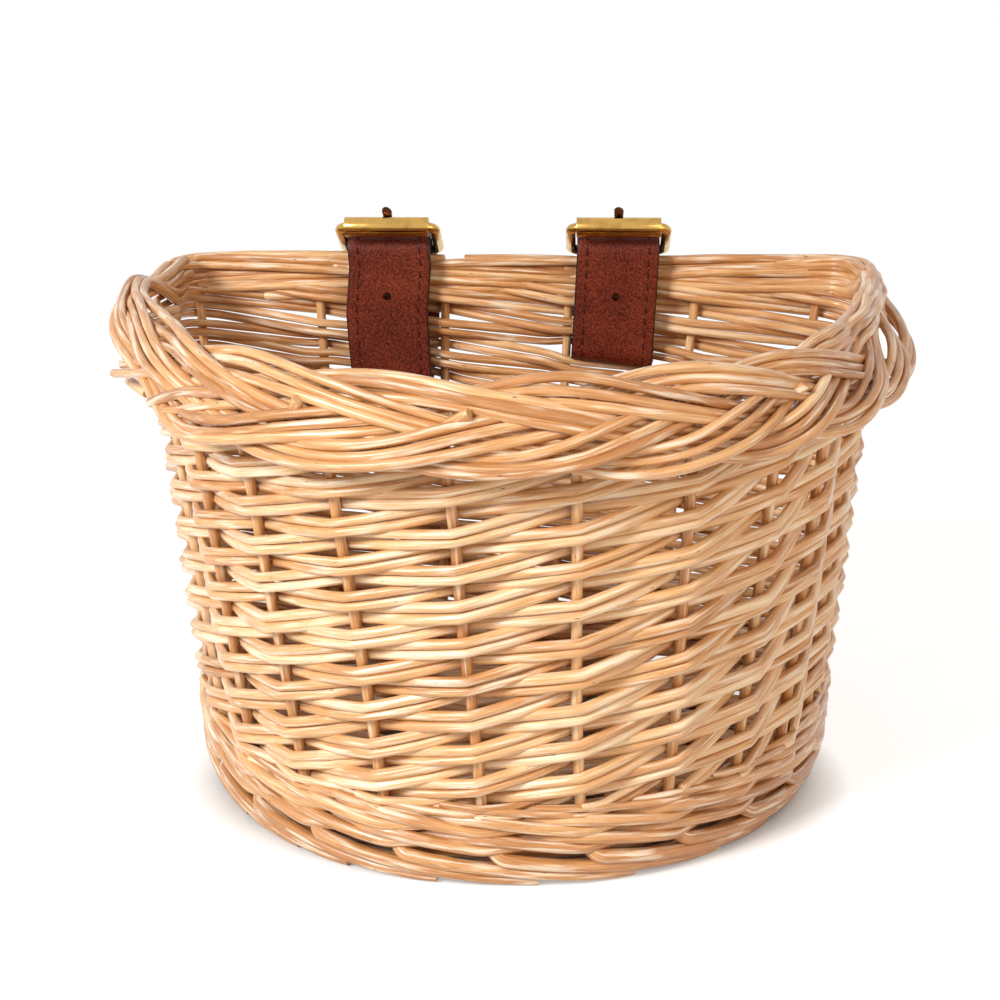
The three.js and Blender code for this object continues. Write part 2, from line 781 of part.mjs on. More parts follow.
// Room in the folded end for the prong's eye
function eyeOpening(x) {
  const radius = billetRadius - strapThickness / 2 - eyeClearance;
  const geometry = new THREE.CylinderGeometry(radius, radius, prongEyeWidth + 2 * eyeSideClearance, 24);
  geometry.rotateZ(Math.PI / 2);
  geometry.translate(x, heelY, heelZ);
  return toSolid(geometry);
}

// Block in the strap's plane, extruded across the strap
function crossBlock(x, outline, width) {
  const shape = new THREE.Shape(outline.map(([y, z]) => new THREE.Vector2(y, z)));
  const geometry = new THREE.ExtrudeGeometry(shape, { depth: width, bevelEnabled: false });
  geometry.translate(0, 0, -width / 2);
  geometry.applyMatrix4(new THREE.Matrix4().set(0, 0, 1, x, 1, 0, 0, 0, 0, 1, 0, 0, 0, 0, 0, 1));
  return toSolid(geometry);
}

// Room for the prong to pass the billet through its whole swing
function prongOpening(x, overAngle) {
  const from = billetRadius - strapThickness / 2 - clearance;
  const farSide = billetRadius + strapThickness / 2 + prongRadius + clearance;
  const to = farSide / Math.cos(prongAngle - overAngle);
  const half = prongRadius + clearance;
  const corner = (s, turn, side) => {
    const a = prongAngle + turn;
    const y = heelY + s * Math.cos(a) - side * half * Math.sin(a);
    return [y, heelZ + s * Math.sin(a) + side * half * Math.cos(a)];
  };
  const low = prongHoleSag * degrees;
  const high = -prongHoleLift * degrees;
  const outline = [corner(from, high, -1), corner(to, high, -1), corner(to, low, 1), corner(from, low, 1)];
  return crossBlock(x, outline, prongDiameter + 2 * clearance);
}

// Height of a strap's slot at the strap's own place
function slotAt(strap) {
  const roughZ = slotHeight(strap, gapMiddle(strap));
  const lean = stakeLean * (1 - roughZ / wallHeight);
  const u = frontStakes + backStakes / 2 - 0.5 - lean - (strap.x + stakeShift) / backPitchAt(roughZ);
  return slotHeight(strap, u);
}

function addStrap(strap) {
  const { side, x } = strap;
  const slotZ = slotAt(strap);
  const seatZ = straps.reduce((sum, each) => sum + slotAt(each), 0) / straps.length;
  const slotTilt = -Math.atan(rowPitch / backPitchAt(slotZ));
  const { points, overAngle } = strapPath(slotZ, seatZ);
  let solid = toSolid(skin(strapRings(points, x, slotZ, slotTilt), false));
  solid = solid.subtract(prongOpening(x, overAngle));
  solid = solid.subtract(eyeOpening(x));
  solid = solid.subtract(strapHole(x, rollerZ - billetDrop - spareHoleDrop));
  addPiece(`strap_${side}`, fromSolid(solid), leather);
}

// Spacing of the back stakes at a height
function backPitchAt(z) {
  const plan = cachedPlan(z);
  const backHalf = plan.halfWidth - cornerRadius + (Math.PI / 4) * cornerRadius + backReach;
  return (2 * backHalf) / backStakes;
}

// Buckle frame: a wire bent to a rectangle, roller bar in front and heel bar behind
function addFrame(side, x) {
  const half = buckleInnerWidth / 2 + wireRadius;
  const forward = new THREE.Vector2(heelY - rollerY, heelZ - rollerZ).normalize();
  const corners = [[1, 0], [1, 1], [-1, 1], [-1, 0]];
  const path = [];
  corners.forEach(([sx, end], i) => {
    const startAngle = [-90, 0, 90, 180][i];
    for (let j = 0; j <= 3; j += 1) {
      const a = (startAngle + j * 30) * degrees;
      const px = sx * (half - buckleCorner) + buckleCorner * Math.cos(a);
      const py = end * buckleLength + (end ? -1 : 1) * buckleCorner + buckleCorner * Math.sin(a);
      path.push(new THREE.Vector3(x + px, rollerY + forward.x * py, rollerZ + forward.y * py));
    }
  });
  const up = new THREE.Vector3(0, -forward.y, forward.x);
  addPiece(`buckle_frame_${side}`, skin(rodRings(path, wireRadius, 8, up, true, Math.PI / 8), true), brass);
}

function tubeAcross(x, y, z, inner, outer, length, segments) {
  const half = length / 2;
  const profile = [[inner, -half], [outer, -half], [outer, half], [inner, half], [inner, -half]];
  const geometry = new THREE.LatheGeometry(profile.map(([r, h]) => new THREE.Vector2(r, h)), segments);
  geometry.rotateZ(Math.PI / 2);
  geometry.translate(x, y, z);
  return faceOutward(mergeVertices(stripped(geometry), 1e-4));
}

function stripped(geometry) {
  geometry.deleteAttribute("normal");
  geometry.deleteAttribute("uv");
  return geometry;
}

function addRoller(side, x) {
  const length = buckleInnerWidth - 2 * rollerEndPlay;
  const tube = tubeAcross(x, rollerY, rollerZ, rollerBore / 2, rollerRadius, length, 20);
  addPiece(`roller_${side}`, tube, brass);
}

function addProng(side, x) {
  const eyeInner = wireRadius + clearance;
  const eyeOuter = eyeInner + prongEyeWall;
  const eye = toSolid(tubeAcross(x, heelY, heelZ, eyeInner, eyeOuter, prongEyeWidth, 16));
  const reach = Math.sqrt(buckleLength ** 2 - prongClear ** 2) + prongOverhang;
  const starts = (eyeInner + eyeOuter) / 2;
  const path = [starts, reach * 0.5, reach - prongTip, reach].map((s) => {
    return new THREE.Vector3(x, heelY + s * Math.cos(prongAngle), heelZ + s * Math.sin(prongAngle));
  });
  const across = new THREE.Vector3(1, 0, 0);
  const rings = rodRings(path, prongRadius, 8, across, false, Math.PI / 8);
  const tip = rings.length - 1;
  rings[tip] = rings[tip].map((p) => p.lerp(path[tip], 0.35));
  addPiece(`prong_${side}`, fromSolid(eye.add(toSolid(skin(rings, false)))), brass);
}

addStakes();
addWeavers();
addWale();
addFootBorder();
addBase();
addPlait();
addBackBorder();
for (const strap of straps) {
  const { side, x } = strap;
  addStrap(strap);
  addFrame(side, x);
  addRoller(side, x);
  addProng(side, x);
}

// The origin is under the middle of the whole basket, on the ground.
const box = new THREE.Box3().setFromObject(basket);
const middle = box.getCenter(new THREE.Vector3());
basket.position.set(-middle.x, -middle.y, -box.min.z);

export default basket;
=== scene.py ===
# A small willow basket for a bicycle's handlebar, with two leather straps.
# Metres, +Z up. The front is at -Y and the flat back at +Y.
import math

import bpy
import numpy as np
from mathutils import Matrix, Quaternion, Vector


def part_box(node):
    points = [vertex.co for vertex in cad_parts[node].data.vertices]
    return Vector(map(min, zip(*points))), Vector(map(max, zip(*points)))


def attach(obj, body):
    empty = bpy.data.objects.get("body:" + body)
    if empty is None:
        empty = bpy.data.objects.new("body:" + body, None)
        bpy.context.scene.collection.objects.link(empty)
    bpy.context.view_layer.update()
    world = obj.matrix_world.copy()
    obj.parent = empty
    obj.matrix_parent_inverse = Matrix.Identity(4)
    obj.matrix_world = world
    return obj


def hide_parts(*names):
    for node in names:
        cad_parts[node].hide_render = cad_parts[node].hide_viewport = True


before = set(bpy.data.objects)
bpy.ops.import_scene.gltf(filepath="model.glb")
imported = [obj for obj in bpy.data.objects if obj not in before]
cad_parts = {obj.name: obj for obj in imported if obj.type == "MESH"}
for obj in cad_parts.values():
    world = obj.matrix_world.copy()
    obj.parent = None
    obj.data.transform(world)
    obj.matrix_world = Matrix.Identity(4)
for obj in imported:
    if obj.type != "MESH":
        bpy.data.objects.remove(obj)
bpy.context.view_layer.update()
bpy.ops.object.select_all(action="DESELECT")
mm = 0.001
rng = np.random.default_rng(12)
print("frame loaded")

camera = {
    "place": (0.0220, -0.5668, 0.2592),
    "target": (-0.00195, -0.01316, 0.08896),
    "lens": 75.56,
    "roll": -0.298,
}


def addCamera():
    bpy.ops.object.camera_add(location=camera["place"])
    eye = bpy.context.object
    toward = Vector(camera["target"]) - Vector(camera["place"])
    roll = Quaternion((0, 0, 1), math.radians(camera["roll"]))
    eye.rotation_mode = "QUATERNION"
    eye.rotation_quaternion = toward.to_track_quat("-Z", "Y") @ roll
    eye.data.lens = camera["lens"]
    bpy.context.scene.camera = eye


addCamera()
print("camera placed")


# How far each point of a path lies along it
def lengthsAlong(path):
    return np.concatenate([[0], np.cumsum(np.linalg.norm(np.diff(path, axis=0), axis=1))])


# The wall is a flat back, two round corners and a superellipse front that lean outward.
wall = {
    "rimHalfWidth": 104.5 * mm,
    "rimDepth": 168 * mm,
    "footHalfWidth": 92 * mm,
    "footDepth": 139 * mm,
    "height": 142 * mm,
    "planPower": 2.23,
    "cornerRadius": 10 * mm,
    "backReach": 14 * mm,
    "stakeShift": 3.2 * mm,
    "stakeLean": 0.1,
    "frontStakes": 14,
    "backStakes": 6,
    "normalReach": 2.5 * mm,
    "topSpread": 0.2,
    "footShift": 0.12,
    "backSamples": 12,
    "cornerSamples": 7,
    "frontSamples": 161,
    "gridPerPitch": 64,
    "gridRise": 2 * mm,
    "gridLowest": -4 * mm,
    "gridHighest": 152 * mm,
}
stakeCount = wall["frontStakes"] + wall["backStakes"]
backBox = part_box("stake_17")
backPlane = (backBox[0].y + backBox[1].y) / 2


def wallRow(z):
    k = z / wall["height"]
    corner = wall["cornerRadius"]
    halfWidth = wall["footHalfWidth"] + k * (wall["rimHalfWidth"] - wall["footHalfWidth"])
    depth = wall["footDepth"] + k * (wall["rimDepth"] - wall["footDepth"])
    flat = np.linspace(0, 1, wall["backSamples"], endpoint=False)
    turn = np.linspace(0, np.pi / 2, wall["cornerSamples"])
    sweep = np.linspace(np.pi, 0, wall["frontSamples"])
    power = 2 / wall["planPower"]
    cornerX = halfWidth - corner
    frontX = halfWidth * np.sign(np.cos(sweep)) * np.abs(np.cos(sweep)) ** power
    frontY = -corner - (depth - corner) * np.abs(np.sin(sweep)) ** power
    x = [-flat * cornerX, -cornerX - corner * np.sin(turn[:-1]), frontX]
    x += [cornerX + corner * np.cos(turn[1:]), cornerX * (1 - flat[1:]), [0]]
    y = [0 * flat, corner * (np.cos(turn[:-1]) - 1), frontY]
    y += [corner * (np.sin(turn[1:]) - 1), 0 * flat[1:], [0]]
    outline = np.stack([np.concatenate(x), np.concatenate(y)], 1)
    lengths = lengthsAlong(outline)
    total = lengths[-1]

    def at(s):
        s = s % total
        return np.stack([np.interp(s, lengths, outline[:, 0]), np.interp(s, lengths, outline[:, 1])], 1)

    backHalf = cornerX + math.pi / 4 * corner + wall["backReach"]
    frontPitch = (total - 2 * backHalf) / wall["frontStakes"]
    backPitch = 2 * backHalf / wall["backStakes"]
    w = (np.arange(stakeCount * wall["gridPerPitch"]) / wall["gridPerPitch"] + 0.5) % stakeCount
    onFront = w * frontPitch
    onBack = wall["frontStakes"] * frontPitch + (w - wall["frontStakes"]) * backPitch
    along = backHalf + wall["stakeShift"] + np.where(w <= wall["frontStakes"], onFront, onBack)
    step = at(along + wall["normalReach"]) - at(along - wall["normalReach"])
    step /= np.linalg.norm(step, axis=1)[:, None]
    return np.concatenate([at(along), step[:, 1:], -step[:, :1]], 1)


wallHeights = np.arange(wall["gridLowest"], wall["gridHighest"], wall["gridRise"])
wallGrid = np.stack([wallRow(z) for z in wallHeights])


# A place along the wall as an angle round the front, and whether it is on the front
def roundFront(u):
    local = (u + 0.5) % stakeCount
    return 2 * np.pi * local / wall["frontStakes"], local < wall["frontStakes"]


# How far a stake stands from its even place: the front ones fan out toward the rim
def stakeDrift(u, z):
    turn, onFront = roundFront(u)
    high = np.clip(z / wall["height"], 0, 1)
    fan = wall["topSpread"] * high * -np.sin(turn)
    slide = wall["footShift"] * (1 - high) * (1 - np.cos(turn)) / 2
    return np.where(onFront, fan + slide, 0) + wall["stakeLean"] * (1 - high)


# Points of the wall at place u, in stake pitches from the front's left end, and height z,
# moved outward by offset. Stakes 0 to 13 are round the front, 14 to 19 along the back.
def wallPoint(u, z, offset):
    u, z, offset = np.broadcast_arrays(*[np.asarray(value, float) for value in (u, z, offset)])
    column = ((u + stakeDrift(u, z)) % stakeCount) * wall["gridPerPitch"]
    row = np.clip((z - wallHeights[0]) / wall["gridRise"], 0, len(wallHeights) - 1.001)
    left = column.astype(int)
    low = row.astype(int)
    columns = [left % wallGrid.shape[1], (left + 1) % wallGrid.shape[1]]
    acrossShare = (column - left)[..., None]
    upShare = (row - low)[..., None]
    below, above = [
        wallGrid[line, columns[0]] * (1 - acrossShare) + wallGrid[line, columns[1]] * acrossShare
        for line in (low, low + 1)
    ]
    here = below * (1 - upShare) + above * upShare
    normal = here[..., 2:] / np.linalg.norm(here[..., 2:], axis=-1)[..., None]
    plan = here[..., :2] + normal * offset[..., None]
    return np.concatenate([plan + [0, backPlane], z[..., None]], -1)


# Colours are sRGB hex codes, turned to the linear values that shaders use.
def colour(code):
    channels = [int(code[i:i + 2], 16) / 255 for i in (0, 2, 4)]
    return [c / 12.92 if c <= 0.04045 else ((c + 0.055) / 1.055) ** 2.4 for c in channels] + [1]


def addNode(tree, kind, links, **settings):
    node = tree.nodes.new("ShaderNode" + kind)
    for name, value in settings.items():
        setattr(node, name, value)
    for name, value in links.items():
        if isinstance(value, bpy.types.NodeSocket):
            tree.links.new(value, node.inputs[name])
        else:
            node.inputs[name].default_value = value
    return node


def attribute(tree, name, output="Fac"):
    return addNode(tree, "Attribute", {}, attribute_name=name).outputs[output]


def objectPlace(tree):
    return addNode(tree, "TexCoord", {}).outputs["Object"]


def noise(tree, place, scale, detail):
    return addNode(tree, "TexNoise", {"Vector": place, "Scale": scale, "Detail": detail}).outputs[0]


# A value from start to end, turned to one from low to high
def ranged(tree, value, start, end, low, high):
    return addNode(tree, "MapRange", {"Value": value, 1: start, 2: end, 3: low, 4: high}).outputs[0]


def maths(tree, operation, *values, **settings):
    return addNode(tree, "Math", dict(enumerate(values)), operation=operation, **settings).outputs[0]


def mixed(tree, share, first, second, blend="MIX"):
    links = {0: share, 6: first, 7: second}
    return addNode(tree, "Mix", links, data_type="RGBA", blend_type=blend).outputs[2]


def ramped(tree, level, stops):
    node = addNode(tree, "ValToRGB", {"Fac": level})
    elements = node.color_ramp.elements
    while len(elements) < len(stops):
        elements.new(0.5)
    for element, (place, code) in zip(elements, stops):
        element.position = place
        element.color = colour(code)
    return node.outputs[0]


def bumped(tree, height, look, **settings):
    links = {"Height": height, "Distance": look["bumpDepth"], "Strength": look["bumpStrength"]}
    return addNode(tree, "Bump", links, **settings).outputs[0]


def newMaterial(name):
    material = bpy.data.materials.new(name)
    material.use_nodes = True
    material.node_tree.nodes.clear()
    return material, material.node_tree


def finished(material, tree, links):
    shader = addNode(tree, "BsdfPrincipled", links)
    addNode(tree, "OutputMaterial", {"Surface": shader.outputs[0]})
    return material


# White willow: peeled, dried and left bare. It is pale straw, with fine fibres along each
# rod, small brown leaf scars, and a soft shine where the bark was, in streaks that are also
# painted paler: a painted sheen.
willow = {
    "tones": [(0.0, "B07641"), (0.22, "C88F58"), (0.5, "DCA970"), (0.78, "EAC292"), (1.0, "F6DDB8")],
    "mottle": "CC8D58",
    "paintedSheen": "FAEBD2",
    "scar": "6E4022",
    "cut": "C79A66",
    "fibreSize": (9 * mm, 0.45 * mm),
    "mottleSize": (26 * mm, 3 * mm),
    "driftSize": (70 * mm, 40 * mm),
    "streakSize": (16 * mm, 1.1 * mm),
    "scarSize": (5 * mm, 1.1 * mm),
    "fibreRange": (0.3, 0.7, -0.27, 0.27),
    "driftRange": (0.3, 0.7, -0.26, 0.26),
    "mottleRange": (0.5, 0.7, 0, 0.6),
    "sheenStreakRange": (0.52, 0.66, 0, 0.68),
    "scarRange": (0.07, 0.16, 1, 0),
    "roughRange": (0.3, 0.7, 0.5, 0.28),
    "scarsLeftOut": 0.72,
    "cutStrength": 0.85,
    "paintedShadePowers": (1, 1.9, 3.2),
    "bumpDepth": 0.14 * mm,
    "bumpStrength": 0.8,
    "coat": 0.42,
    "coatRoughness": 0.3,
}


def makeWillow(name, darker):
    material, tree = newMaterial(name)
    grain = attribute(tree, "grain", "Vector")

    # A texture drawn out along the rod
    def stretched(size, kind, links):
        scale = (1 / size[0], 1 / size[1], 1 / size[1])
        mapped = addNode(tree, "Mapping", {"Vector": grain, "Scale": scale})
        return addNode(tree, kind, {"Vector": mapped.outputs[0], "Scale": 1, **links}).outputs

    fibre = stretched(willow["fibreSize"], "TexNoise", {"Detail": 3})[0]
    mottle = stretched(willow["mottleSize"], "TexNoise", {"Detail": 4})[0]
    drift = stretched(willow["driftSize"], "TexNoise", {"Detail": 2})[0]
    streak = stretched(willow["streakSize"], "TexNoise", {"Detail": 3})[0]
    scars = stretched(willow["scarSize"], "TexVoronoi", {})

    driftShift = ranged(tree, drift, *willow["driftRange"])
    fibreShift = ranged(tree, fibre, *willow["fibreRange"])
    shifts = maths(tree, "ADD", driftShift, fibreShift)
    level = maths(tree, "ADD", attribute(tree, "tone"), shifts, use_clamp=True)
    skin = ramped(tree, level, willow["tones"])
    skin = mixed(tree, ranged(tree, mottle, *willow["mottleRange"]), skin, colour(willow["mottle"]))
    # painted highlight: pale streaks of sheen are mixed into the colour along each rod
    skin = mixed(tree, ranged(tree, streak, *willow["sheenStreakRange"]), skin, colour(willow["paintedSheen"]))

    near = ranged(tree, scars["Distance"], *willow["scarRange"])
    chosen = addNode(tree, "SeparateXYZ", {0: scars["Color"]}).outputs
    rare = maths(tree, "GREATER_THAN", chosen[0], willow["scarsLeftOut"])
    scar = maths(tree, "MULTIPLY", maths(tree, "MULTIPLY", near, rare), chosen[1])
    skin = mixed(tree, scar, skin, colour(willow["scar"]))

    cut = maths(tree, "MULTIPLY", attribute(tree, "cut"), willow["cutStrength"])
    skin = mixed(tree, cut, skin, colour(willow["cut"]))
    # painted shade: for the stakes' copy the colour is multiplied by a darker, more saturated tint, for the
    # stakes seen in the gaps between the weavers
    shade = [darker ** power for power in willow["paintedShadePowers"]] + [1]
    return finished(material, tree, {
        "Base Color": mixed(tree, 1, skin, shade, "MULTIPLY"),
        "Roughness": ranged(tree, streak, *willow["roughRange"]),
        "IOR": 1.5,
        "Coat Weight": willow["coat"],
        "Coat Roughness": willow["coatRoughness"],
        "Normal": bumped(tree, maths(tree, "SUBTRACT", fibre, scar), willow),
    })


willowMaterial = makeWillow("peeledWillow", 1.0)
# A copy with painted shade, for the stakes and the base sticks
shadedStakeMaterial = makeWillow("shadedPeeledWillowStakes", 0.92)


# Chestnut cowhide: dyed through, pressed with a fine pebble and rolled to a low shine, with
# cut edges painted dark brown.
leather = {
    "tones": [(0.16, "240601"), (0.46, "531707"), (0.9, "86391F")],
    "edge": "1C0A06",
    "edgeRange": (0.955, 0.99, 0, 1),
    "roughRange": (0.3, 0.7, 0.44, 0.6),
    "pebble": 0.62 * mm,
    "pebbleShare": -0.5,
    "crease": 14 * mm,
    "creaseShare": 0.5,
    "bumpDepth": 0.14 * mm,
    "bumpStrength": 0.55,
    "shine": 0.26,
}


def makeLeather():
    material, tree = newMaterial("pebbledCowhide")
    place = objectPlace(tree)
    cells = {"Vector": place, "Scale": 1 / leather["pebble"]}
    pebbles = addNode(tree, "TexVoronoi", cells, feature="SMOOTH_F1").outputs["Distance"]
    creases = noise(tree, place, 1 / leather["crease"], 8)
    speckle = noise(tree, place, 1.1 / leather["pebble"], 2)
    level = maths(tree, "MULTIPLY_ADD", pebbles, leather["pebbleShare"], speckle)
    level = maths(tree, "MULTIPLY_ADD", creases, leather["creaseShare"], level, use_clamp=True)
    edge = ranged(tree, attribute(tree, "across"), *leather["edgeRange"])
    return finished(material, tree, {
        "Base Color": mixed(tree, edge, ramped(tree, level, leather["tones"]), colour(leather["edge"])),
        "Roughness": ranged(tree, speckle, *leather["roughRange"]),
        "IOR": 1.5,
        "Specular IOR Level": leather["shine"],
        "Normal": bumped(tree, pebbles, leather, invert=True),
    })


# Waxed thread, a little darker than the leather, sunk in its holes. Toward each stitch's ends it is painted
# near black: painted shade where it goes into the hole.
thread = {
    "tones": [(0.1, "2C0D07"), (0.9, "5C2416")],
    "ends": "140502",
    "holeShadeRange": (0.5, 0.8, 0, 1),
    "twistsPerMetre": 900,
    "roughness": 0.6,
    "shine": 0.15,
}


def makeThread():
    material, tree = newMaterial("waxedThread")
    bands = {"Vector": objectPlace(tree), "Scale": thread["twistsPerMetre"]}
    twist = addNode(tree, "TexWave", bands, bands_direction="DIAGONAL").outputs["Fac"]
    # painted shade at the stitch ends, where the thread dips into its holes
    sunk = ranged(tree, attribute(tree, "sunk"), *thread["holeShadeRange"])
    return finished(material, tree, {
        "Base Color": mixed(tree, sunk, ramped(tree, twist, thread["tones"]), colour(thread["ends"])),
        "Roughness": thread["roughness"],
        "IOR": 1.5,
        "Specular IOR Level": thread["shine"],
    })


# Yellow brass wire and rolled brass sheet: polished and lacquered, with faint handling marks. The prong's
# brass is coloured dark brown: a painted reflection and shade for its dark tip.
brass = {
    "colour": "D2A75C",
    "worn": "8F6632",
    # painted reflection and shade: the prong's dark brown colour stands in for the dark look of its tip
    "prong": "5A2C18",
    "prongWorn": "35180C",
    "wornRange": (0.45, 0.75, 0, 0.6),
    "roughRange": (0.3, 0.7, 0.12, 0.26),
    "haze": 3 * mm,
    "scratch": 0.25 * mm,
    "scratchLength": 1 / 60,
    "bumpDepth": 0.01 * mm,
    "bumpStrength": 0.25,
}


def makeBrass(name, bright, dull):
    material, tree = newMaterial(name)
    place = objectPlace(tree)
    haze = noise(tree, place, 1 / brass["haze"], 5)
    scale = (1 / brass["scratchLength"], 1 / brass["scratch"], 1 / brass["scratch"])
    mapped = addNode(tree, "Mapping", {"Vector": place, "Scale": scale})
    scratches = noise(tree, mapped.outputs[0], 1, 2)
    worn = ranged(tree, haze, *brass["wornRange"])
    return finished(material, tree, {
        "Base Color": mixed(tree, worn, colour(bright), colour(dull)),
        "Metallic": 1,
        "Roughness": ranged(tree, haze, *brass["roughRange"]),
        "Normal": bumped(tree, scratches, brass),
    })


leatherMaterial = makeLeather()
threadMaterial = makeThread()
brassMaterial = makeBrass("polishedBrass", brass["colour"], brass["worn"])
prongMaterial = makeBrass("brassWithPaintedShade", brass["prong"], brass["prongWorn"])
print("materials made")


# A rod is a round, tapered stick along a path. Its ends are cut at a slant.
rodShape = {
    "sides": 10,
    "endBevel": 0.25 * mm,
    "endRadius": 0.84,
    "endSlant": 0.7,
    "knuckleSpacing": 42 * mm,
    "knuckleLength": 2.2 * mm,
    "knuckleHeight": 0.09,
    "knuckleGaps": (0.6, 1.5),
    "smoothUnder": math.radians(50),
}


def makeRod(path, radius, tone):
    path = np.asarray(path, float)
    radius = np.broadcast_to(np.asarray(radius, float), len(path)).copy()
    along = lengthsAlong(path)
    knuckle = rng.uniform(0, rodShape["knuckleSpacing"])
    while knuckle < along[-1]:
        near = np.exp(-((along - knuckle) / rodShape["knuckleLength"]) ** 2)
        radius *= 1 + rodShape["knuckleHeight"] * rng.uniform(0.2, 1) * near
        knuckle += rodShape["knuckleSpacing"] * rng.uniform(*rodShape["knuckleGaps"])
    return {"path": path, "radius": radius, "tone": tone}


def rodTones(count, middle=0.55, spread=0.2):
    return np.clip(rng.normal(middle, spread, count), 0.02, 0.98)


def unit(vectors):
    return vectors / np.linalg.norm(vectors, axis=-1, keepdims=True)


def direction(angle):
    return np.array([math.cos(angle), math.sin(angle)])


def rodSides(tangent):
    side = np.empty_like(tangent)
    helper = (0, 0, 1) if abs(tangent[0][2]) < 0.9 else (1, 0, 0)
    side[0] = unit(np.cross(tangent[0], helper))
    for i in range(1, len(tangent)):
        carried = side[i - 1] - tangent[i] * side[i - 1].dot(tangent[i])
        side[i] = carried / math.sqrt(carried.dot(carried))
    return side


def rodRings(rod):
    path, radius = rod["path"], rod["radius"]
    bevel = rodShape["endBevel"]
    first = path[0] + unit(path[1] - path[0]) * bevel
    last = path[-1] - unit(path[-1] - path[-2]) * bevel
    path = np.concatenate([path[:1], [first], path[1:-1], [last], path[-1:]])
    ends = radius[[0, -1]] * rodShape["endRadius"]
    radius = np.concatenate([ends[:1], radius, ends[1:]])
    tangent = unit(np.gradient(path, axis=0))
    tangent[:2] = unit(path[1] - path[0])
    tangent[-2:] = unit(path[-1] - path[-2])
    side = rodSides(tangent)
    up = np.cross(tangent, side)
    turn = np.linspace(0, 2 * np.pi, rodShape["sides"], endpoint=False)
    spoke = side[:, None] * np.cos(turn)[None, :, None] + up[:, None] * np.sin(turn)[None, :, None]
    rings = path[:, None] + spoke * radius[:, None, None]
    for ends in (slice(0, 2), slice(-2, None)):
        slant = rng.uniform(0, rodShape["endSlant"]) * np.cos(turn - rng.uniform(0, 2 * np.pi))
        inward = tangent[ends] * (1 if ends.start == 0 else -1)
        rings[ends] += inward[:, None] * (radius[ends][:, None] * (slant + abs(slant).max()))[..., None]
    along = lengthsAlong(path)
    grain = np.empty_like(rings)
    grain[..., 0] = (along + rng.uniform(0, 50))[:, None]
    grain[..., 1] = radius[:, None] * np.cos(turn)
    grain[..., 2] = radius[:, None] * np.sin(turn)
    return rings, grain


def rodPiece(name, rods, material, nodes=(), body="root"):
    points, faces, grains, tones, cuts = [], [], [], [], []
    first = 0
    sides = rodShape["sides"]
    for rod in rods:
        rings, grain = rodRings(rod)
        count = len(rings)
        corner = first + np.arange((count - 1) * sides)
        nextCorner = corner + np.where((corner - first) % sides == sides - 1, 1 - sides, 1)
        quads = np.stack([corner, nextCorner, nextCorner + sides, corner + sides], 1)
        start = [first + j for j in reversed(range(sides))]
        end = [first + (count - 1) * sides + j for j in range(sides)]
        faces += quads.tolist() + [start, end]
        cuts += [0.0] * len(quads) + [1.0, 1.0]
        points.append(rings.reshape(-1, 3))
        grains.append(grain.reshape(-1, 3))
        tone = np.broadcast_to(rod["tone"], len(rod["path"]))
        spots = np.linspace(0, len(tone) - 1, count)
        tones.append(np.repeat(np.interp(spots, np.arange(len(tone)), tone), sides))
        first += count * sides
    piece = addPiece(name, points, faces, [
        ("grain", "FLOAT_VECTOR", "POINT", np.concatenate(grains)),
        ("tone", "FLOAT", "POINT", np.concatenate(tones)),
        ("cut", "FLOAT", "FACE", cuts),
    ])
    bpy.ops.object.shade_smooth_by_angle(angle=rodShape["smoothUnder"])
    dress(piece, material, body, nodes)


def addPiece(name, points, faces, attributes):
    mesh = bpy.data.meshes.new(name)
    mesh.from_pydata(np.concatenate(points).tolist(), [], faces)
    for label, kind, domain, values in attributes:
        field = "vector" if kind == "FLOAT_VECTOR" else "value"
        mesh.attributes.new(label, kind, domain).data.foreach_set(field, np.ravel(values))
    piece = bpy.data.objects.new(name, mesh)
    bpy.context.scene.collection.objects.link(piece)
    useAlone(piece)
    return piece


def deselect():
    bpy.ops.object.select_all(action="DESELECT")


def setMode(mode):
    bpy.ops.object.mode_set(mode=mode)


def useAlone(piece):
    deselect()
    piece.select_set(True)
    bpy.context.view_layer.objects.active = piece


def dress(piece, material, body, nodes):
    piece.data.materials.clear()
    piece.data.materials.append(material)
    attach(piece, body)
    if nodes:
        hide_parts(*nodes)


def numbered(name, i):
    return f"{name}_{i + 1:02d}"


# Small uneven steps from stake to stake, straight in between, as a hand-laid rod has
def unevenness(u, size):
    places = np.arange(math.floor(u.min()) - 1, math.ceil(u.max()) + 2)
    return np.interp(u, places, rng.normal(0, size, len(places)))


# Slow, smooth wandering along a rod
def waver(u, size):
    first = math.floor(u.min())
    values = rng.normal(0, size, math.ceil(u.max()) - first + 2)
    place = u - first
    low = place.astype(int)
    share = place - low
    share = share * share * (3 - 2 * share)
    return values[low] * (1 - share) + values[low + 1] * share


# A path through a few knots, as (place, offset, height), with each corner slightly rounded
def knottedPath(knots, perPitch, rounding):
    knots = np.array(knots, float)
    u = np.arange(knots[0, 0], knots[-1, 0] + 1e-6, 1 / perPitch)
    bent = np.stack([np.interp(u, knots[:, 0], knots[:, i]) for i in (1, 2)], 1)
    reach = max(1, int(rounding * perPitch))
    padded = np.concatenate([np.repeat(bent[:1], reach, 0), bent, np.repeat(bent[-1:], reach, 0)])
    kernel = np.hanning(2 * reach + 3)[1:-1]
    kernel /= kernel.sum()
    smooth = np.stack([np.convolve(padded[:, i], kernel, "valid") for i in (0, 1)], 1)
    return u, smooth[:, 0], smooth[:, 1]


# Where each strap is: its middle across, the place along the wall and the row where it goes
# through, and how far its inside run sways, as shares of the run and mm
straps = [
    {"side": "left", "x": -39 * mm, "place": 17.5, "row": 15, "bow": [(0.12, 0.4), (0.5, -0.9), (1, 0.2)]},
    {"side": "right", "x": 31 * mm, "place": 15.5, "row": 16, "bow": [(0.12, -0.2), (0.5, -0.8), (1, -1.7)]},
]
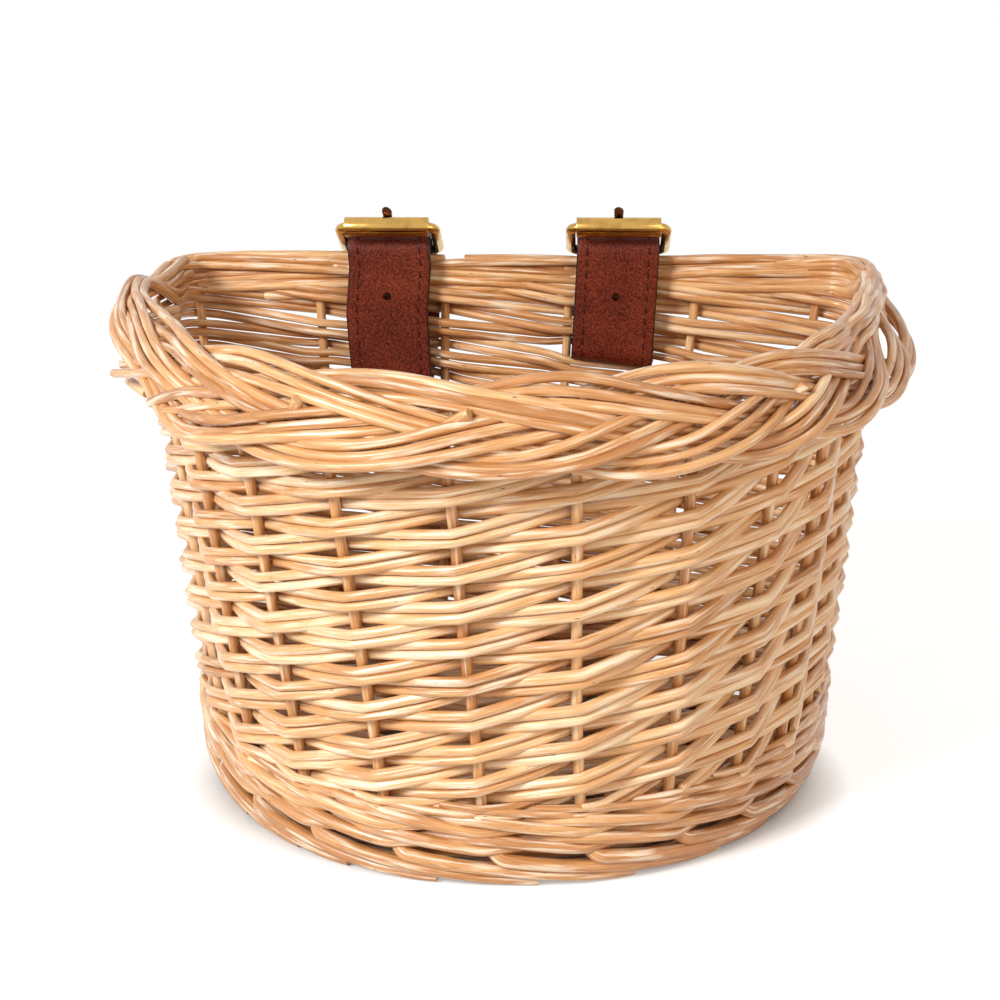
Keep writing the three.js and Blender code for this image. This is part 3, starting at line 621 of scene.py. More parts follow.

# Weavers: pairs of thin rods. Each pair starts at its own stake, passes in front of one
# stake and behind the next, and climbs one row per stake. Along the back the rods' tone is
# made darker: painted shade for the inside of the back, which gets less light.
weave = {
    "firstRow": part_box("weaver_01")[0].z,
    "rowPitch": 5.15 * mm,
    "swing": 2.85 * mm,
    "rodRadius": 1.37 * mm,
    "butt": 1.05,
    "tip": 0.95,
    "backThinner": 0.99,
    "backPaintedShade": 0.24,
    "frontSag": 0.5 * mm,
    "fan": 0.14 * mm,
    "lowest": 22.6 * mm,
    "highestBack": 132.2 * mm,
    "highestFront": 132.5 * mm,
    "frontTilt": 2.6 * mm,
    "tail": 1.6,
    "stations": 14,
    "heightJitter": 0.27 * mm,
    "depthJitter": 0.14 * mm,
    "radiusJitter": 0.07,
    "slotHalfOpening": 1.45 * mm,
    "slotBeside": (0.38, 0.7),
    "tiltFade": ((30 * mm, 130 * mm), (1, 0.35)),
    "endTaper": 0.3,
}


def smoothStep(x, start, end):
    t = np.clip((x - start) / (end - start), 0, 1)
    return t * t * (3 - 2 * t)


def slotHeight(strap, u):
    return weave["firstRow"] + weave["rowPitch"] * (strap["row"] + u - strap["place"])


# How far the rows move up or down to let the straps through
def slotShift(u, z):
    shift = np.zeros_like(z)
    for strap in straps:
        away = (z - slotHeight(strap, u)) / weave["rowPitch"]
        opened = np.sign(away) * weave["slotHalfOpening"] * np.clip(1.25 - np.abs(away) / 2, 0, None)
        shift += opened * (1 - smoothStep(np.abs(u - strap["place"]), *weave["slotBeside"]))
    return shift


# The rows of the front run a little steeper than the rim, more so near the foot
def rowTilt(u, z):
    turn, onFront = roundFront(u)
    fade = np.interp(z, *weave["tiltFade"])
    return np.where(onFront, -weave["frontTilt"] * np.sin(turn) * fade, 0)


def atBack(u, soft=0.25):
    local = u % stakeCount
    start = wall["frontStakes"] - 0.5
    end = stakeCount - 0.5
    return np.clip((local - start) / soft, 0, 1) * np.clip((end - local) / soft, 0, 1)


def addWeavers():
    stations = weave["stations"]
    tail = int(weave["tail"] * stations)
    for k in range(stakeCount):
        whole = k + np.arange(-tail, stakeCount * stations + tail + 1) / stations
        heightSteps = unevenness(whole, weave["heightJitter"])
        rods = []
        for side, tone in zip((-1, 1), rodTones(2)):
            first = int(rng.integers(0, tail // 2))
            last = len(whole) - int(rng.integers(0, tail // 2))
            u = whole[first:last]
            back = atBack(u)
            climbed = np.clip(u - k, 0, stakeCount)
            beyond = u - k - climbed
            outside = 1 - 2 * np.abs((u - k) % 2 - 1)
            row = weave["firstRow"] + weave["rowPitch"] * (u - k)
            sag = weave["frontSag"] * outside * (1 - back)
            row += slotShift(u % stakeCount, row) + heightSteps[first:last] - sag + rowTilt(u, row)
            taper = np.interp(climbed, [0, stakeCount], [weave["butt"], weave["tip"]])
            taper *= 1 - weave["endTaper"] * np.abs(beyond) / weave["tail"]
            taper *= 1 + waver(u / 4, weave["radiusJitter"])
            radius = weave["rodRadius"] * (1 - (1 - weave["backThinner"]) * back) * taper
            spread = weave["fan"] * (1 - np.abs(outside)) + unevenness(u, weave["heightJitter"] / 2)
            highest = weave["highestFront"] + (weave["highestBack"] - weave["highestFront"]) * back
            shift = side * weave["rodRadius"]
            z = np.clip(row + side * (radius + spread), weave["lowest"] + shift, highest + shift)
            offset = weave["swing"] * outside + unevenness(u, weave["depthJitter"])
            # painted shade: the rods' tone is darkened along the inside of the back
            shaded = np.clip(tone - weave["backPaintedShade"] * back, 0, 1)
            rods.append(makeRod(wallPoint(u, z, offset), radius, shaded))
        rodPiece(numbered("weaverRods", k), rods, willowMaterial, [numbered("weaver", k)])


# Stakes: upright rods, a little thicker at the foot. Those of the front lean out at the top.
stakes = {
    "foot": 12 * mm,
    "footRadius": 1.55 * mm,
    "topRadius": 1.4 * mm,
    "frontTop": 133 * mm,
    "backTop": 131.5 * mm,
    "wander": 0.012,
    "wanderLength": 25 * mm,
    "leanLength": 10 * mm,
    "leanSlope": 0.1,
    "tones": (0.4, 0.15),
}


def addStakes():
    for i, tone in enumerate(rodTones(stakeCount, *stakes["tones"])):
        isFront = i < wall["frontStakes"]
        top = stakes["frontTop"] if isFront else stakes["backTop"]
        z = np.linspace(stakes["foot"], top, 30)
        u = i + unevenness(z / stakes["wanderLength"], stakes["wander"])
        lean = np.clip(z - top + stakes["leanLength"], 0, None) * stakes["leanSlope"] * isFront
        radius = np.interp(z, [z[0], top], [stakes["footRadius"], stakes["topRadius"]])
        rod = makeRod(wallPoint(u, z, lean), radius, tone)
        rodPiece(numbered("stakeRod", i), [rod], shadedStakeMaterial, [numbered("stake", i)])


# Wale: strong rods in threes. Each passes in front of two stakes and behind the third. A round
# of thin rods above it is laid the same way.
wale = {
    "firstStep": 0,
    "rounds": 2,
    "centre": 12.9 * mm,
    "rise": 5.6 * mm,
    "swing": 3.3 * mm,
    "lift": 1.75 * mm,
    "rodRadius": 1.75 * mm,
}
thinWale = {
    "firstStep": 1,
    "rounds": 1,
    "centre": 22.6 * mm,
    "rise": 0,
    "swing": 2.6 * mm,
    "lift": 1.15 * mm,
    "rodRadius": 1.05 * mm,
}
waleRod = {
    "shortest": 2,
    "longest": 3,
    "outerSwing": 0.86,
    "heightJitter": 0.15 * mm,
    "startDrop": 0.6 * mm,
    "endRise": 0.5 * mm,
    "tones": (0.26, 0.14),
}


def waleRods(shape):
    rods = []
    outer = shape["swing"] * waleRod["outerSwing"]
    offsets = [-shape["swing"], outer, outer]
    lifts = [0, shape["lift"], -shape["lift"]]
    for m in range(3):
        first = (-m - shape["firstStep"]) % 3
        while first < shape["rounds"] * stakeCount + 2:
            end = first + 3 * int(rng.integers(waleRod["shortest"], waleRod["longest"] + 1))
            knots = []
            for i in range(first, end + 1):
                step = (i + m + shape["firstStep"]) % 3
                z = shape["centre"] + shape["rise"] * np.clip(i - stakeCount + 0.5, 0, 1) + lifts[step]
                knots.append((i, offsets[step], z + rng.normal(0, waleRod["heightJitter"])))
            knots.insert(0, (first - 0.3, offsets[0] * 0.7, knots[0][2] - waleRod["startDrop"]))
            past = end + rng.uniform(0.2, 0.45)
            knots.append((past, offsets[0] * 0.3, knots[-1][2] + waleRod["endRise"]))
            u, offset, z = knottedPath(knots, 16, 0.06)
            radius = shape["rodRadius"] * (np.linspace(1.04, 0.93, len(u)) * (1 + unevenness(u, 0.03)))
            rods.append(makeRod(wallPoint(u, z, offset), radius, rodTones(1, *waleRod["tones"])[0]))
            first = end
    return rods


def addWale():
    rodPiece("waleRods", waleRods(wale), willowMaterial, ["wale_a", "wale_b"])
    rodPiece("thinWaleRods", waleRods(thinWale), willowMaterial)


# Foot border: the foot of each stake bends out in a knee and lies along the bottom past the
# next two knees. A knot is a place past the stake, then how far out and how high it is, in mm.
footBorder = {
    "radius": 1.95 * mm,
    "tipRadius": 1.5 * mm,
    "unevenness": 0.04,
    "clearance": 0.1 * mm,
    "tones": (0.1, 0.1),
    "knots": [
        (0.0, 0.0, 17), (0.05, -0.8, 11.2), (0.11, 1.6, 9.6), (0.19, 3.1, 8.2), (0.7, 3.2, 6.4),
        (1.42, 3.0, 4.2), (2.0, 2.6, 2.5), (2.42, 2.3, 1.8), (2.62, 2.1, 1.7),
    ],
}


def addFootBorder():
    rods = []
    for i in range(stakeCount):
        stretch = rng.normal(1, footBorder["unevenness"])
        knots = [(i + u * stretch, offset * mm, z * mm) for u, offset, z in footBorder["knots"]]
        u, offset, z = knottedPath(knots, 32, 0.035)
        radius = np.linspace(footBorder["radius"], footBorder["tipRadius"], len(u))
        radius *= rng.normal(1, footBorder["unevenness"])
        z = np.maximum(z, radius + footBorder["clearance"])
        rods.append(makeRod(wallPoint(u, z, offset), radius, rodTones(1, *footBorder["tones"])[0]))
    rodPiece("footBorderRods", rods, willowMaterial, ["foot_border_a", "foot_border_b"])


# Base: sticks from front to back with one across, a mat woven over and under them, a hoop
# round it and a ring of rod between the hoop and the wall
base = {
    "height": 6 * mm,
    "inset": 6 * mm,
    "hoopRadius": 1.9 * mm,
    "hoopOverlap": 0.6,
    "edgeHeight": 3.7 * mm,
    "edgeInset": 1.3 * mm,
    "edgeThinner": 0.85,
    "widthBand": 1.2 * mm,
    "stickRadius": 1.7 * mm,
    "stickSpacing": 29 * mm,
    "sticksEachSide": 2,
    "stickInset": 12 * mm,
    "stickPast": 3 * mm,
    "crossInset": 4 * mm,
    "stickTone": 0.35,
    "rowPitch": 7 * mm,
    "rowGap": 0.3 * mm,
    "rowRods": 3,
    "rodRadius": 1.08 * mm,
    "rodClearance": 0.1 * mm,
}


def baseHalfWidth(y):
    edge = wallPoint(np.linspace(0, stakeCount, 1200), base["height"], -base["inset"])
    near = np.abs(edge[:, 1] - y) < base["widthBand"]
    return np.abs(edge[near, 0]).max() if near.any() else 0


def baseRod(x, y, z, radius, tone):
    return makeRod(np.stack(np.broadcast_arrays(x, y, z), 1), radius, tone)


def addBase():
    u = np.linspace(0, stakeCount + base["hoopOverlap"], 260)
    hoop = makeRod(wallPoint(u, base["height"], -base["inset"]), base["hoopRadius"], 0.3)
    edgePath = wallPoint(u, base["edgeHeight"], -base["edgeInset"])
    edge = makeRod(edgePath, base["hoopRadius"] * base["edgeThinner"], 0.1)
    front = wallPoint(6.5, base["height"], -base["inset"])[1] + base["hoopRadius"]
    back = backPlane - base["inset"] - base["hoopRadius"]
    rowWidth = base["rowPitch"] - base["rowGap"]
    rowCount = int((back - front) / base["rowPitch"])
    spread = range(-base["sticksEachSide"], base["sticksEachSide"] + 1)
    swing = base["stickRadius"] + base["rodRadius"] + base["rodClearance"]
    rods = []
    reached = {}
    for r in range(rowCount):
        y = back - rowWidth / 2 - r * base["rowPitch"]
        half = min(baseHalfWidth(y + rowWidth / 2), baseHalfWidth(y - rowWidth / 2))
        crossed = [i for i in spread if abs(i) * base["stickSpacing"] < half - base["stickInset"]]
        for i in crossed:
            reached.setdefault(i, []).append(y)
        if r == rowCount // 2:
            crossY, crossHalf = y, half - base["crossInset"]
            continue
        knots = [-half] + [i * base["stickSpacing"] for i in crossed] + [half]
        heights = [0] + [swing * (1 if (i + r) % 2 else -1) for i in crossed] + [0]
        x = np.linspace(-half, half, 60)
        z = base["height"] + np.interp(x, knots, heights)
        for n in range(base["rowRods"]):
            rodY = y + (n - (base["rowRods"] - 1) / 2) * 2 * base["rodRadius"]
            rods.append(baseRod(x, rodY, z, base["rodRadius"], rodTones(1, 0.4)[0]))
    rodPiece("baseMatRods", [hoop, edge] + rods, willowMaterial, ["base_mat"])
    stick = {"z": base["height"], "radius": base["stickRadius"], "tone": base["stickTone"]}
    sticks = []
    for i, ys in reached.items():
        y = np.linspace(min(ys) - base["stickPast"], max(ys) + base["stickPast"], 12)
        sticks.append(baseRod(i * base["stickSpacing"], y, **stick))
    sticks.append(baseRod(np.linspace(-crossHalf, crossHalf, 12), crossY, **stick))
    rodPiece("baseStickRods", sticks, shadedStakeMaterial, ["base_sticks"])


# Plaited rim: five strands of a flat braid that leans outward, each of three rods side by
# side and each over two and under two. Three strands come straight along the top from the left
# corner to their first crest, and two join low on the left with cut ends. From its last crest
# each runs round the right corner into the back border. The crests are where a strand is
# highest, as places along the wall.
plait = {
    "pitch": 27 * mm,
    "swing": 9.1 * mm,
    "straighter": 0.07,
    "depth": 1.9 * mm,
    "outset": 6.8 * mm,
    "centre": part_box("stake_01")[1].z - 0.3 * mm,
    "tilt": math.radians(33),
    "crests": [
        -3.3, -2.05, -0.8, 0.45, 1.75, 3.06, 4.37, 5.68, 6.86, 7.85, 8.78, 9.7, 10.7, 11.6, 12.55, 13.5, 14.5,
    ],
    "crestZero": 5,
    "lean": 0.28,
    "layer": 2.2 * mm,
    "strands": 5,
    "rodRadius": 1.33 * mm,
    "lanes": 3,
    "lane": 2.8 * mm,
    "laneJitter": 0.45 * mm,
    # The plait's rods get a lower mean tone than the weavers': painted shade, as the plait faces up into the
    # lamps
    "tones": (0.28, 0.14),
    "bundleWander": 0.4 * mm,
    "leftBulge": 4.6 * mm,
    "bulgeStart": (-0.4, 0.8),
    "bulgeEnd": (1.3, 2.8),
    "stations": 22,
    "leftEnd": -1.05,
    "leftTurn": (-0.6, 0.9),
    "rightTurn": (12.8, 13.75),
    "rightEnd": 16.2,
    "tuck": 1.2,
    "tuckStrength": 0.6,
    "tailStart": 1.9,
    "tailDrop": 3 * mm,
    "levelMargin": 2 * mm,
}
border = {
    "low": 128.6 * mm,
    "high": 143.0 * mm,
    "swing": 2.1 * mm,
    "rodRadius": 1.6 * mm,
    "levels": 9,
    "spacing": 0.27,
    "left": 19.5,
    "right": 13.95,
    "past": 1.4,
    "rodLengths": (3.0, 5.0),
    "heightJitter": 0.35 * mm,
    "depthJitter": 0.25 * mm,
    "tones": (0.32, 0.16),
}
borderMiddle = (border["low"] + border["high"]) / 2
# Short cut ends that stick out of the plait, each as its tip and its other end
stubs = [
    ((6.25, 8.5, 137.2), (5.98, 4.5, 131.5)),
    ((5.02, 8.2, 137.5), (4.86, 6.0, 131.0)),
    ((8.9, 9.0, 136.0), (8.62, 5.0, 131.0)),
    ((1.75, 10.0, 121.5), (2.3, 7.0, 121.5)),
]


def crestCount(u):
    return np.interp(u, plait["crests"], np.arange(len(plait["crests"]))) - plait["crestZero"]


def plaitPlace(u, angle, lane, raised):
    across = plait["swing"] * (np.sin(angle) - plait["straighter"] * np.sin(3 * angle))
    lift = -plait["depth"] * np.sin(2 * angle) + raised
    slope = np.gradient(across, u)
    across = across + lane * np.sqrt(1 + (slope / plait["pitch"]) ** 2)
    bulge = plait["leftBulge"] * smoothStep(u, *plait["bulgeStart"])
    bulge = bulge * (1 - smoothStep(u, *plait["bulgeEnd"]))
    outward = plait["outset"] + across * math.sin(plait["tilt"]) + lift * math.cos(plait["tilt"]) + bulge
    z = plait["centre"] - across * math.cos(plait["tilt"]) + lift * math.sin(plait["tilt"])
    shift = plait["lean"] * np.clip(across / plait["swing"], -1, 1) / 2
    return u + shift, outward, z


def plaitStrand(n):
    strands = plait["strands"]
    firstCrest = (n + 2) % strands - 2
    lastCrest = 6 + (n - 1) % strands
    joins = firstCrest > 0
    rods = []
    whole = np.arange(plait["leftEnd"], plait["rightEnd"], 1 / plait["stations"])
    bundle = waver(whole / 1.3, plait["bundleWander"])
    for lane in range(plait["lanes"]):
        first = int(rng.integers(0, 16))
        if joins:
            start = firstCrest - plait["tailStart"] + rng.uniform(-0.25, 0.2)
            first = int(np.argmax(crestCount(whole) > start))
        last = len(whole) - int(rng.integers(0, 34))
        u = whole[first:last]
        count = crestCount(u)
        early = 1 - smoothStep(count, firstCrest - 1, firstCrest - 0.1)
        late = smoothStep(count, lastCrest + 0.1, lastCrest + 1)
        lowest = firstCrest - strands / 2 if joins else firstCrest
        angle = -math.pi / 2 + 2 * np.pi / strands * (np.clip(count, lowest, lastCrest) - n)
        centred = lane - (plait["lanes"] - 1) / 2
        jitter = waver(u / 0.9, plait["laneJitter"]) + bundle[first:last]
        raised = waver(u / 0.7, plait["laneJitter"] * 0.6) + 0.6 * plait["layer"] * (lastCrest - 8) * late
        if joins:
            raised -= plait["tailDrop"] * (1 - smoothStep(u, u[0], u[0] + 1.2))
        else:
            raised -= plait["layer"] * (firstCrest + 1) * early
        place, outward, z = plaitPlace(u, angle, centred * plait["lane"] + jitter, raised)
        order = (n + strands * lane) / (strands * plait["lanes"] - 1)
        span = border["high"] - border["low"] - 2 * plait["levelMargin"]
        level = border["low"] + plait["levelMargin"] + span * order
        depth = border["swing"] * (1 if (n + lane) % 2 else -1)
        share = 1 - smoothStep(u, *plait["rightTurn"])
        if not joins:
            share = share * smoothStep(u, *plait["leftTurn"])
        tucked = smoothStep(u, u[-1] - plait["tuck"], u[-1])
        depth = depth * (1 - tucked)
        level += (borderMiddle - level) * plait["tuckStrength"] * tucked
        outward = depth + (outward - depth) * share
        z = level + (z - level) * share
        radius = plait["rodRadius"] * rng.normal(1, 0.09) * (1 + waver(u / 2, 0.06))
        tone = rodTones(1, *plait["tones"])[0]
        rods.append(makeRod(wallPoint(u + (place - u) * share, z, outward), radius, tone))
    return rods


def plaitStubs():
    rods = []
    for tip, root in stubs:
        ends = np.array([root, tip]) * [1, mm, mm]
        path = np.array([ends[0] + (ends[1] - ends[0]) * s for s in np.linspace(0, 1, 5)])
        points = wallPoint(path[:, 0], path[:, 2], path[:, 1])
        rods.append(makeRod(points, plait["rodRadius"] * rng.uniform(0.9, 1.2), rodTones(1)[0]))
    return rods


def addPlait():
    rodPiece("plaitRods_a", plaitStrand(0) + plaitStrand(3) + plaitStubs(), willowMaterial, ["plait_a"])
    rodPiece("plaitRods_b", plaitStrand(1) + plaitStrand(4), willowMaterial, ["plait_b"])
    rodPiece("plaitRods_c", plaitStrand(2), willowMaterial, ["plait_c"])


# Back border: thick and thin rods that run along the back and cross each other at a slant,
# with their ends tucked into the bundle
def addBackBorder():
    rods = []
    levels = np.linspace(border["low"], border["high"], border["levels"])
    farLeft = border["left"] + border["past"]
    for m in range(int((farLeft - border["right"]) / border["spacing"])):
        left = farLeft - m * border["spacing"] * rng.uniform(0.9, 1.1)
        right = left - rng.uniform(*border["rodLengths"])
        startLevel = levels[(5 * m) % border["levels"]]
        endLevel = levels[(5 * m + 3) % border["levels"]]
        depth = border["swing"] * (((3 * m) % 5) / 2 - 1)
        knots = []
        for share in np.linspace(0, 1, 9):
            u = left + (right - left) * share
            out = math.sin(math.pi * share)
            z = startLevel + (endLevel - startLevel) * share + rng.normal(0, border["heightJitter"])
            z = min(z, borderMiddle + (z - borderMiddle) * (0.6 + 0.4 * out))
            knots.append((u, depth * out + rng.normal(0, border["depthJitter"]), z))
        knots = [knot for knot in knots[::-1] if border["right"] <= knot[0] <= border["left"]]
        if len(knots) < 3:
            continue
        u, offset, z = knottedPath(knots, 24, 0.7)
        radius = border["rodRadius"] * rng.uniform(0.7, 1.15) * np.linspace(0.88, 1.06, len(u))
        rods.append(makeRod(wallPoint(u, z, offset), radius, rodTones(1, *border["tones"])[0]))
    rodPiece("backBorderRods", rods, willowMaterial, ["back_border_a", "back_border_b"])


addWeavers()
print("weavers made")
addStakes()
addWale()
addFootBorder()
print("stakes, wale and foot made")
addBase()
print("base made")
addPlait()
addBackBorder()
print("rim made")


# Straps: each is one strip of leather. Its pointed end comes over the heel bar and under the
# roller, goes down the inside and out through the weave, round the handlebar, and the other
# end is folded round the heel bar.
strapShape = {
    "width": 25 * mm,
    "thickness": 2.4 * mm,
    "overRadius": 5.7 * mm,
    "heelRadius": 3.0 * mm,
    "turnRadius": 3.6 * mm,
    "turnDrop": 8 * mm,
    "slotBend": 3.2 * mm,
    "slotReach": 12 * mm,
    "wallSkin": 4.5 * mm,
    "barDistance": 18.25 * mm,
    "barRadius": 14.2 * mm,
    "seatLength": 5 * mm,
    "seatLead": 1 * mm,
    "wrap": math.radians(210),
    "neck": 7 * mm,
    "foldEnd": 11.5 * mm,
    "tail": 9 * mm,
    "pointed": 10 * mm,
    "holeRadius": 1.3 * mm,
    "holeDrop": 22 * mm,
    "holeSway": 0.8,
    "notchRadius": 4.4 * mm,
    "notchWidth": 4.4 * mm,
    "prongSlot": (3 * mm, 5 * mm, 4.2 * mm),
    "prongSlotAt": 6.6 * mm,
    "straightAfter": 25 * mm,
    "tiltFade": 10 * mm,
    "step": 1.2 * mm,
    "columns": 16,
    "edgeBevel": 0.4 * mm,
}
stitch = {
    "pitch": 3.6 * mm,
    "halfLength": 1.2 * mm,
    "radius": 0.36 * mm,
    "inset": 3.1 * mm,
    "slant": 0.14,
    "start": 14 * mm,
    "endBeforeNeck": 13 * mm,
    "sink": 0.06 * mm,
    "reach": 0.4 * mm,
}
buckle = {
    "length": 22.3 * mm,
    "tilt": math.radians(28),
    "halfWidth": 14.5 * mm,
    "wireRadius": 1.5 * mm,
    "corner": 3.4 * mm,
    "rollerRadius": 3 * mm,
    "rollerWall": 1.1 * mm,
    "rollerLength": 25.4 * mm,
    "rollerBevel": 0.18 * mm,
    "seamTurn": math.radians(-20),
    "gap": 0.3 * mm,
    "prongRadius": 1.2 * mm,
    "prongTip": 1.5 * mm,
    "prongPast": 2.6 * mm,
    "eyeRadius": 2.7 * mm,
    "eyeWire": 0.95 * mm,
    "eyeTurn": (math.radians(310), math.radians(38)),
    "shankStart": 4.4 * mm,
}
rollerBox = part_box("roller_left")
roller = np.array([rollerBox[0].y + rollerBox[1].y, rollerBox[0].z + rollerBox[1].z]) / 2
heel = roller + buckle["length"] * direction(-buckle["tilt"])
strapRun = roller[0] + buckle["rollerRadius"] + buckle["gap"] + strapShape["thickness"] / 2
prongClear = buckle["rollerRadius"] + buckle["gap"] + buckle["prongRadius"]
prongAngle = math.pi - buckle["tilt"] - math.asin(prongClear / buckle["length"])


def arcPoints(centre, radius, start, end):
    turn = np.linspace(start, end, max(3, int(abs(end - start) * radius / (0.5 * mm))))
    return np.stack([centre[0] + radius * np.cos(turn), centre[1] + radius * np.sin(turn)], 1)


# Direction in which a belt over two wheels leaves them
def beltAngle(centre, radius, nextCentre, nextRadius):
    y, z = np.asarray(nextCentre) - centre
    return math.atan2(z, y) + math.acos((radius - nextRadius) / math.hypot(y, z))


# Height at which a strap goes through the back, and the stakes' spacing there
def strapSlot(strap):
    u = np.linspace(14.5, 18.5, 400)
    x = -wallPoint(u, slotHeight(strap, strap["place"]), 0)[:, 0]
    return slotHeight(strap, np.interp(-strap["x"], x, u)), abs(x[0] - x[-1]) / (u[-1] - u[0])


def bezierPoints(a, b, c, d):
    t = np.linspace(0, 1, 12)[:, None]
    return (1 - t) ** 3 * a + 3 * (1 - t) ** 2 * t * b + 3 * (1 - t) * t ** 2 * c + t ** 3 * d


def strapLine(strap):
    shape = strapShape
    slotZ, stakePitch = strapSlot(strap)
    seatZ = np.mean([strapSlot(each)[0] for each in straps])
    barY = backPlane + shape["barDistance"]
    bar = np.array([barY, seatZ + shape["barRadius"]])
    turn = np.array([strapRun + shape["turnRadius"], roller[1] - shape["turnDrop"]])
    overAngle = beltAngle(turn, shape["turnRadius"], heel, shape["overRadius"])
    loopAngle = beltAngle(heel, shape["heelRadius"], bar, shape["barRadius"])
    tailRadius = shape["barRadius"] + shape["thickness"] + buckle["gap"]
    away = direction(loopAngle)
    along = np.array([away[1], -away[0]])
    layer = heel + away * (shape["heelRadius"] - shape["thickness"] - buckle["gap"])
    neckAngle = loopAngle + shape["wrap"]
    neckAway = direction(neckAngle)
    leaving = heel + shape["heelRadius"] * neckAway
    leaveAlong = np.array([-neckAway[1], neckAway[0]])
    meeting = layer + along * shape["neck"]
    pull = shape["neck"] / 3
    bend = shape["slotBend"]
    slot = [[backPlane + shape["wallSkin"], slotZ]]
    seat = [[barY - shape["seatLength"] - shape["seatLead"], seatZ], [barY - shape["seatLead"], seatZ]]
    parts = [
        arcPoints(bar, tailRadius, loopAngle - shape["tail"] / tailRadius, loopAngle),
        arcPoints(heel, shape["overRadius"], loopAngle, overAngle),
        arcPoints(turn, shape["turnRadius"], overAngle, math.pi),
        arcPoints((strapRun + bend, slotZ + bend), bend, math.pi, 1.5 * math.pi),
        np.array(slot + seat),
        arcPoints(bar, shape["barRadius"], -0.5 * math.pi, loopAngle),
        arcPoints(heel, shape["heelRadius"], loopAngle, neckAngle),
        bezierPoints(leaving, leaving + leaveAlong * pull, meeting - along * pull, meeting)[1:],
        (layer + along * shape["foldEnd"])[None],
    ]
    points = np.concatenate(parts)
    lengths = lengthsAlong(points)
    ends = np.cumsum([len(part) for part in parts]) - 1
    runTop, runEnd, slotOut = lengths[ends[2]], lengths[ends[3]] - bend, lengths[ends[3] + 1]
    bows = [(0, 0), (runTop, 0)]
    bows += [(runTop + share * (runEnd - runTop), shift * mm) for share, shift in strap["bow"]]
    bows.append((slotOut + shape["straightAfter"], 0))
    return {
        "x": strap["x"],
        "points": points,
        "lengths": lengths,
        "tilt": -math.atan(weave["rowPitch"] / stakePitch),
        "tiltPlaces": [runEnd - shape["slotReach"], runEnd, slotOut, slotOut + shape["tiltFade"]],
        "bows": np.array(bows),
        "overAngle": overAngle,
        "neckStart": lengths[ends[6]],
    }


# Points of a strap's middle layer, s along it and a from edge to edge, -1 to 1
def strapSurface(line, s, a):
    s, a = np.broadcast_arrays(np.asarray(s, float), np.asarray(a, float))
    share = np.clip(s / strapShape["pointed"], 0.015, 1)
    half = strapShape["width"] / 2 * np.sqrt(1 - (1 - share) ** 2)
    tilt = line["tilt"] * np.interp(s, line["tiltPlaces"], [0, 1, 1, 0])
    bow = np.interp(s, line["bows"][:, 0], line["bows"][:, 1])
    x = line["x"] + bow + a * half * np.cos(tilt)
    y = np.interp(s, line["lengths"], line["points"][:, 0])
    z = np.interp(s, line["lengths"], line["points"][:, 1]) + a * half * np.sin(tilt)
    return np.stack([x, y, z], -1)


def applied(piece, kind, settings):
    useAlone(piece)
    modifier = piece.modifiers.new(kind, kind)
    for name, value in settings.items():
        setattr(modifier, name, value)
    bpy.ops.object.modifier_apply(modifier=modifier.name)


def cutOut(piece, cutter):
    applied(piece, "BOOLEAN", {"object": cutter, "operation": "DIFFERENCE", "solver": "EXACT"})
    bpy.data.objects.remove(cutter)


def strapSheet(line, name):
    total = line["lengths"][-1]
    rows = int(total / strapShape["step"])
    deselect()
    bpy.ops.mesh.primitive_grid_add(x_subdivisions=strapShape["columns"], y_subdivisions=rows, size=1)
    piece = bpy.context.object
    piece.name = name
    flat = np.empty(len(piece.data.vertices) * 3)
    piece.data.vertices.foreach_get("co", flat)
    flat = flat.reshape(-1, 3)
    s = (flat[:, 1] + 0.5) * total
    a = flat[:, 0] * 2
    piece.data.vertices.foreach_set("co", strapSurface(line, s, a).ravel())
    across = np.where((s < 0.3 * mm) | (s > total - 0.3 * mm), 1, np.abs(a))
    piece.data.attributes.new("across", "FLOAT", "POINT").data.foreach_set("value", across)
    piece.data.update()
    return piece


def bevelled(piece, width, angle):
    applied(piece, "BEVEL", {
        "width": width, "segments": 2, "limit_method": "ANGLE", "angle_limit": math.radians(angle),
    })


def cutCylinder(piece, sides, radius, depth, place, rotation):
    bpy.ops.mesh.primitive_cylinder_add(
        vertices=sides, radius=radius, depth=depth, location=place, rotation=rotation
    )
    cutOut(piece, bpy.context.object)


def addStrap(strap):
    side, x = strap["side"], strap["x"]
    shape = strapShape
    line = strapLine(strap)
    piece = strapSheet(line, f"strapLeather_{side}")
    applied(piece, "SOLIDIFY", {"thickness": shape["thickness"], "offset": 0, "use_even_offset": True})
    bevelled(piece, shape["edgeBevel"], 50)
    hole = (x + line["bows"][3, 1] * shape["holeSway"], strapRun, roller[1] - shape["holeDrop"])
    cutCylinder(piece, 20, shape["holeRadius"], 8 * mm, hole, (math.pi / 2, 0, 0))
    cutCylinder(piece, 32, shape["notchRadius"], shape["notchWidth"], (x, *heel), (0, math.pi / 2, 0))
    middle = heel + shape["prongSlotAt"] * direction(prongAngle)
    bpy.ops.mesh.primitive_cube_add(size=1, location=(x, *middle), rotation=(prongAngle, 0, 0))
    cutter = bpy.context.object
    setMode("EDIT")
    bpy.ops.transform.resize(value=shape["prongSlot"], orient_type="LOCAL")
    setMode("OBJECT")
    cutOut(piece, cutter)
    useAlone(piece)
    bpy.ops.object.shade_smooth_by_angle(angle=math.radians(40))
    dress(piece, leatherMaterial, "root", [f"strap_{side}"])
    addStitching(side, line)


